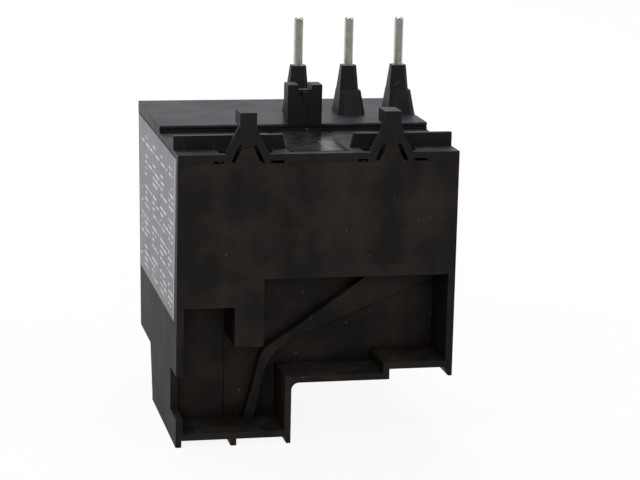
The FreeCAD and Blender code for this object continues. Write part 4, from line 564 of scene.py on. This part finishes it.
# Helix along Y with closed ends: the angle runs evenly and the depth stands still over both end shares.
def makeSpring(node):
    low, high = (np.array(corner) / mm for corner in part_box(node))
    wire = spring["wireMm"]
    outer = (high[0] - low[0]) / 2 - wire
    share = np.linspace(0, 1, int(spring["turns"] * spring["stepsPerTurn"]))
    angle = share * spring["turns"] * 2 * math.pi
    rise = np.clip((share - spring["endShare"]) / (1 - 2 * spring["endShare"]), 0, 1)
    closed = wire * spring["endPitch"]
    depth = high[1] - wire - closed * np.minimum(share / spring["endShare"], 1)
    depth = depth - (high[1] - low[1] - 2 * wire - 2 * closed) * rise
    depth = depth - closed * np.clip((share - 1 + spring["endShare"]) / spring["endShare"], 0, 1)
    middle = (low + high) / 2
    radial = np.stack([np.cos(angle), np.zeros_like(angle), np.sin(angle)], -1)
    path = np.stack([middle[0] + outer * radial[:, 0], depth, middle[2] + outer * radial[:, 2]], -1)
    tangent = np.gradient(path, axis=0)
    tangent /= np.linalg.norm(tangent, axis=1)[:, None]
    side = np.cross(tangent, radial)
    round2 = np.linspace(0, 2 * math.pi, spring["sides"], endpoint=False)
    points = (path[:, None] + wire * (np.cos(round2)[None, :, None] * radial[:, None]
                                      + np.sin(round2)[None, :, None] * side[:, None]))
    tips = np.repeat(path[[0, -1], None], spring["sides"], axis=1)
    coil = gridMesh("coil", np.concatenate([tips[:1], points, tips[1:]]), around=True, flip=True)
    piece = addPiece(node + "_coil", joinMeshes("coil", [coil]), nodeSlot[node], nodeBody[node])
    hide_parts(node)
    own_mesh(piece)


screwLook = {
    "crossMm": 0.62, "crossHalfMm": 1.35, "crossDeepMm": 1.1, "crossFlankMm": 0.1, "crossEndMm": 0.35,
    "domeMm": 0.3, "domeShare": 0.93, "headMm": 2.1,
    # rim of the head: share of its radius, millimetres below the dome
    "rim": ((0.97, 0.05), (1.0, 0.2)),
    # foot of the head: share of its radius, millimetres below its top
    "foot": ((1.0, 2.0), (0.98, 2.1), (0.8, 2.1)),
    "shankMm": 1.7, "pitchMm": 0.6, "threadMm": 0.16, "taperMm": 0.5, "sides": 96, "rings": 44, "shankRings": 80,
}


# Boxes of the separate solids in a node, in millimetres.
def solidBoxes(node):
    work = bmesh.new()
    work.from_mesh(frame["nodes"][node].data)
    bmesh.ops.remove_doubles(work, verts=work.verts, dist=rounding["mergeMm"] * mm)
    matrix = frame["nodes"][node].matrix_world
    left = set(work.verts)
    boxes = []
    while left:
        group = [left.pop()]
        for vert in group:
            for edge in vert.link_edges:
                other = edge.other_vert(vert)
                if other in left:
                    left.discard(other)
                    group.append(other)
        co = np.array([matrix @ vert.co for vert in group]) / mm
        boxes.append((co.min(0), co.max(0)))
    work.free()
    return boxes


# Head: a low dome whose depth drops inside a cross that narrows downwards.
# Shank: the radius falls and rises with the phase, depth over pitch less the share of a turn.
def screwMesh(low, high):
    middle = (low + high) / 2
    head = (high[0] - low[0]) / 2
    look = screwLook
    angle = np.linspace(0, 2 * math.pi, look["sides"], endpoint=False)
    share = np.linspace(0, 1, look["rings"])[:, None]
    x = head * look["domeShare"] * share * np.cos(angle)
    z = head * look["domeShare"] * share * np.sin(angle)
    drop = look["domeMm"] * share ** 2 * np.ones_like(x)
    across = np.minimum(np.abs(x), np.abs(z))
    along = np.maximum(np.abs(x), np.abs(z))
    inCross = (np.clip((look["crossMm"] / 2 - across) / look["crossFlankMm"], 0, 1)
               * np.clip((look["crossHalfMm"] - along) / look["crossEndMm"], 0, 1))
    drop = drop + inCross * look["crossDeepMm"]
    face = np.stack([middle[0] + x, low[1] + drop, middle[2] + z], -1)

    def ring(radius, depth):
        return np.stack([middle[0] + radius * np.cos(angle), depth * np.ones_like(radius * angle),
                         middle[2] + radius * np.sin(angle)], -1)
    profile = [(out, look["domeMm"] + below) for out, below in look["rim"]] + list(look["foot"])
    skirt = [ring(head * out, low[1] + below) for out, below in profile]
    depth = np.linspace(low[1] + look["headMm"], high[1], look["shankRings"])[:, None]
    phase = (depth / look["pitchMm"] - angle / (2 * math.pi)) % 1
    wide = look["shankMm"] - look["threadMm"] * np.abs(2 * phase - 1)
    wide = wide - look["taperMm"] * np.clip((depth - high[1] + look["taperMm"]) / look["taperMm"], 0, 1)
    end = ring(0.0, high[1])
    return gridMesh("screw", np.concatenate([face, np.array(skirt), ring(wide, depth), end[None]]), around=True)


def makeScrews(node):
    boxes = solidBoxes(node)
    piece = addPiece(node + "_dressed", joinMeshes(node, [screwMesh(*each) for each in boxes]), nodeSlot[node],
                     nodeBody[node])
    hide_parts(node)
    return len(boxes)


post = {"rightMm": -2.62, "leftMm": -0.42, "footMm": -3.2, "topMm": 2.1, "rearMm": 20.12, "deepMm": 0.4,
        "notchMm": 0.9, "notchFrom": 0.78, "webMm": 1.9, "columns": 25, "rows": 30}


# Hollow between the guide post's prongs: a shallow valley, deeper near its top, closed over the web.
def makePostHollow():
    share = np.linspace(0, 1, post["columns"])
    up = np.linspace(0, 1, post["rows"])[:, None]
    valley = np.sin(share * math.pi)[None, :]
    depth = post["rearMm"] + post["deepMm"] * valley * np.ones_like(up)
    notch = np.clip((up - post["notchFrom"]) / (1 - post["notchFrom"]), 0, 1) ** 1.5
    depth = depth + post["notchMm"] * valley * notch
    x = np.broadcast_to(post["rightMm"] + (post["leftMm"] - post["rightMm"]) * share, depth.shape)
    z = np.broadcast_to(post["footMm"] + (post["topMm"] - post["footMm"]) * up, depth.shape)
    rear = np.stack([x, -depth, z], -1)
    over = rear[-1:].copy()
    over[..., 1] = -(post["rearMm"] + post["webMm"])
    mesh = gridMesh("postHollow", np.concatenate([rear, over]), flip=True)
    addPiece("postHollow", mesh, nodeSlot["top_frame"], nodeBody["top_frame"], topPlastic)


trough = {
    "acrossMm": (-5.4, 4.0), "depthMm": (1.75, 20.3), "rimMm": -4.36, "dipMm": 0.36, "rows": 60, "columns": 20,
    "patchMm": (-4.4, -2.1), "patchDepthMm": (2.2, 13.0), "patchLiftMm": 0.012, "patchColumns": 8,
}


# A long dip from rear to front: the depth is half a sine raised to the power 0.7.
def troughMesh(across, depths, lift, columns):
    x = np.linspace(*across, columns)[None, :]
    depth = np.linspace(*depths, trough["rows"])[:, None]
    rear, front = trough["depthMm"]
    along = (depth - rear) / (front - rear)
    z = trough["rimMm"] - trough["dipMm"] * np.sin(math.pi * along) ** 0.7 + lift
    return gridMesh("trough", np.stack(np.broadcast_arrays(x, -depth, z), -1), flip=True)


# Glossy hollow between the hooks, with a painted reflection patch in it.
def makeTrough():
    slot, body = nodeSlot["top_frame"], nodeBody["top_frame"]
    hollow = troughMesh(trough["acrossMm"], trough["depthMm"], 0.0, trough["columns"])
    addPiece("trough", hollow, slot, body, troughPlastic)
    # painted reflection: a pale patch laid just over the hollow where the lamp overhead shines in it
    reflectionPatch = troughMesh(trough["patchMm"], trough["patchDepthMm"], trough["patchLiftMm"], trough["patchColumns"])
    addPiece("troughPaintedReflection", reflectionPatch, slot, body, paintedReflectionPlastic)


dialPrint = {
    "numbers": ("1", "1.2", "1.4", "1.6", "1.8", "2"), "spreadDeg": 110.0, "numberMm": 1.45, "ringMm": 3.95,
    "tickMm": (4.65, 5.0), "ticks": 26, "ticksPerNumber": 5, "tickWideMm": 0.13, "longerMm": 0.15,
    "inkMm": 0.03,  # how far the ink stands on the face
}


def textMesh(text, sizeMm):
    curve = bpy.data.curves.new("text", "FONT")
    curve.body = text
    curve.size = sizeMm * mm
    curve.align_x = "CENTER"
    curve.align_y = "CENTER"
    carrier = linked("text", curve)
    mesh = bpy.data.meshes.new_from_object(carrier.evaluated_get(bpy.context.evaluated_depsgraph_get()))
    bpy.data.objects.remove(carrier)
    return mesh


# Numbers and ticks on the dial's face, read from the front; angles run from straight up.
def makeDialPrint():
    low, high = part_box("setting_dial")
    head = Vector(((low.x + high.x) / 2, low.y - dialPrint["inkMm"] * mm, (low.z + high.z) / 2))
    faceOn = Matrix.Rotation(math.pi / 2, 4, "X")
    meshes = []
    spread = math.radians(dialPrint["spreadDeg"])
    numbers = dialPrint["numbers"]
    for index, number in enumerate(numbers):
        turn = spread * (2 * index / (len(numbers) - 1) - 1)
        mesh = textMesh(number, dialPrint["numberMm"])
        out = Vector((math.sin(turn), 0, math.cos(turn))) * dialPrint["ringMm"] * mm
        mesh.transform(Matrix.Translation(head + out) @ Matrix.Rotation(turn, 4, "Y") @ faceOn)
        meshes.append(mesh)
    inner, outer = dialPrint["tickMm"]
    half = dialPrint["tickWideMm"] / 2
    for index in range(dialPrint["ticks"]):
        turn = spread * (2 * index / (dialPrint["ticks"] - 1) - 1)
        start = inner - (0.0 if index % dialPrint["ticksPerNumber"] else dialPrint["longerMm"])
        mesh = bpy.data.meshes.new("tick")
        corners = [(-half, 0, start), (half, 0, start), (half, 0, outer), (-half, 0, outer)]
        mesh.from_pydata([tuple(v * mm for v in corner) for corner in corners], [], [(0, 1, 2, 3)])
        mesh.transform(Matrix.Translation(head) @ Matrix.Rotation(turn, 4, "Y"))
        meshes.append(mesh)
    dial = "setting_dial"
    addPiece("dialPrint", joinMeshes("dialPrint", meshes), nodeSlot[dial], nodeBody[dial], dialInk)


makePinSkins()
makeSpring("stop_spring")
makeSpring("reset_spring")
screwCount = makeScrews("load_screws") + makeScrews("aux_screws")
makePostHollow()
makeTrough()
makeDialPrint()
print("pieces drawn from surfaces, screws:", screwCount)


# stage, light and camera

stageLook = {
    "floor": "#f1f1ef", "sizeM": 3.0, "gapMm": 0.03,
    "roomLevel": 0.3,  # what lights the object evenly
    "glossFront": 0.8,  # what gloss sees of the pale backdrop in front of the object
    "glossBehind": 0.3,  # what gloss sees of the dim room behind it
    "glossAbove": 0.55,  # what gloss sees overhead
    "glossTurn": (-0.7, 0.5),  # from the one level to the other, along the depth direction
    "glossRise": (0.5, 0.95),  # from the horizon's level to the overhead one
    "floorGlossPerM": 4.0,
    "floorGlow": 0.9,  # share of the floor's look that is glow, so that a shadow still shows
}


# What the gloss of the object sees: the pale backdrop towards -Y, a dim room towards +Y.
# along runs from -1 in front to +1 behind, and up from 0 at the horizon to 1 overhead.
def glossLevel(tree, along, up=None):
    level = ramp(tree, along, *stageLook["glossTurn"], (stageLook["glossFront"], stageLook["glossBehind"]))
    if up is None:
        return level
    return mathOf(tree, "MAXIMUM", level, ramp(tree, up, *stageLook["glossRise"], (0.0, stageLook["glossAbove"])))


# 1 for rays that meet the camera or pass through the clear door, and 1 for rays off gloss.
def sightRays(tree):
    path = addNode(tree, "ShaderNodeLightPath")
    clear = mathOf(tree, "MAXIMUM", path.outputs["Is Camera Ray"], path.outputs["Is Transmission Ray"])
    return clear, path.outputs["Is Glossy Ray"]


# A pale surface that the camera and glass see as nearly white, and that still takes a shadow.
def whiteForCamera(material, colour):
    tree = material.node_tree
    clear, glossy = sightRays(tree)
    seen = mathOf(tree, "MAXIMUM", clear, glossy)
    spot = addNode(tree, "ShaderNodeTexCoord").outputs["Object"]
    place = addNode(tree, "ShaderNodeSeparateXYZ", links={0: spot}).outputs["Y"]
    gloss = glossLevel(tree, mathOf(tree, "MULTIPLY", place, stageLook["floorGlossPerM"]))
    strength = mathOf(tree, "MAXIMUM", clear, gloss)
    diffuse = addNode(tree, "ShaderNodeBsdfDiffuse", {"Color": hexColour(colour)})
    glow = addNode(tree, "ShaderNodeEmission", {"Color": (1, 1, 1, 1)}, {"Strength": strength})
    share = mathOf(tree, "MULTIPLY", seen, stageLook["floorGlow"])
    mixed = addNode(tree, "ShaderNodeMixShader", links={0: share, 1: diffuse.outputs[0], 2: glow.outputs[0]})
    closeMaterial(tree, mixed.outputs[0])


def makeStage():
    low = cadBox[0].z - stageLook["gapMm"] * mm
    size = stageLook["sizeM"]
    mesh = bpy.data.meshes.new("floor")
    mesh.from_pydata([(-size, -size, low), (size, -size, low), (size, size, low), (-size, size, low)], [],
                     [(0, 1, 2, 3)])
    floor = linked("floor", mesh)
    material, _ = newMaterial("paleFloor")
    whiteForCamera(material, stageLook["floor"])
    mesh.materials.append(material)


def makeWorld():
    world = bpy.data.worlds.new("studio")
    bpy.context.scene.world = world
    world.use_nodes = True
    tree = world.node_tree
    tree.nodes.clear()
    clear, glossy = sightRays(tree)
    direction = addNode(tree, "ShaderNodeTexCoord").outputs["Generated"]
    way = addNode(tree, "ShaderNodeSeparateXYZ", links={0: direction})
    gloss = glossLevel(tree, way.outputs["Y"], way.outputs["Z"])
    room = mathOf(tree, "SUBTRACT", 1.0, glossy)
    dim = mathOf(tree, "ADD", mathOf(tree, "MULTIPLY", glossy, gloss),
                 mathOf(tree, "MULTIPLY", room, stageLook["roomLevel"]))
    strength = mathOf(tree, "MAXIMUM", clear, dim)
    background = addNode(tree, "ShaderNodeBackground", {"Color": (1, 1, 1, 1)}, {"Strength": strength})
    addNode(tree, "ShaderNodeOutputWorld", links={"Surface": background.outputs[0]})


lamps = {
    # name: place in metres from the object's middle, size in metres, power in watts, whether gloss shows it
    "keyLeft": ((0.5, 0.35, 0.6), 0.35, 1.4, True),
    "fillRight": ((-0.6, 0.3, 0.35), 0.4, 1.2, True),
    "topFront": ((-0.1, -0.45, 0.7), 0.4, 2.4, True),
    "frontFill": ((0.3, -0.8, 0.25), 0.5, 5.0, False),
    "rearFill": ((0.15, 1.0, 0.3), 0.5, 6.0, False),
}


def makeLamps():
    middle = (cadBox[0] + cadBox[1]) / 2
    for name, (offset, size, power, inGloss) in lamps.items():
        data = bpy.data.lights.new(name, "AREA")
        data.shape = "DISK"
        data.size = size
        data.energy = power
        lamp = linked(name, data)
        lamp.visible_glossy = inGloss
        lamp.location = middle + Vector(offset)
        lamp.rotation_euler = (-Vector(offset)).to_track_quat("-Z", "Y").to_euler()


camera = {"placeM": (0.071508, 0.328861, 0.056170), "azimuth": 12.299, "down": 12.469, "roll": 1.285,
          "lensMm": 123.155, "sensorMm": 36.0}


# Looks from behind: azimuth turns from the rear face towards +X, down tips it, roll turns the picture.
def makeCamera():
    a, e, r = (math.radians(camera[key]) for key in ("azimuth", "down", "roll"))
    back = Vector((math.sin(a) * math.cos(e), math.cos(a) * math.cos(e), math.sin(e)))
    right = (-back).cross(Vector((0, 0, 1))).normalized()
    above = right.cross(-back)
    across = right * math.cos(r) + above * math.sin(r)
    upward = -right * math.sin(r) + above * math.cos(r)
    data = bpy.data.cameras.new("camera")
    data.lens = camera["lensMm"]
    data.sensor_width = camera["sensorMm"]
    data.clip_start = 0.01
    data.clip_end = 20
    view = linked("camera", data)
    view.matrix_world = Matrix((
        (across.x, upward.x, back.x, camera["placeM"][0]),
        (across.y, upward.y, back.y, camera["placeM"][1]),
        (across.z, upward.z, back.z, camera["placeM"][2]), (0, 0, 0, 1)))
    bpy.context.scene.camera = view


makeStage()
makeWorld()
makeLamps()
makeCamera()
bpy.context.scene.view_settings.view_transform = "Standard"
print("stage, light and camera")

bpy.context.view_layer.update()
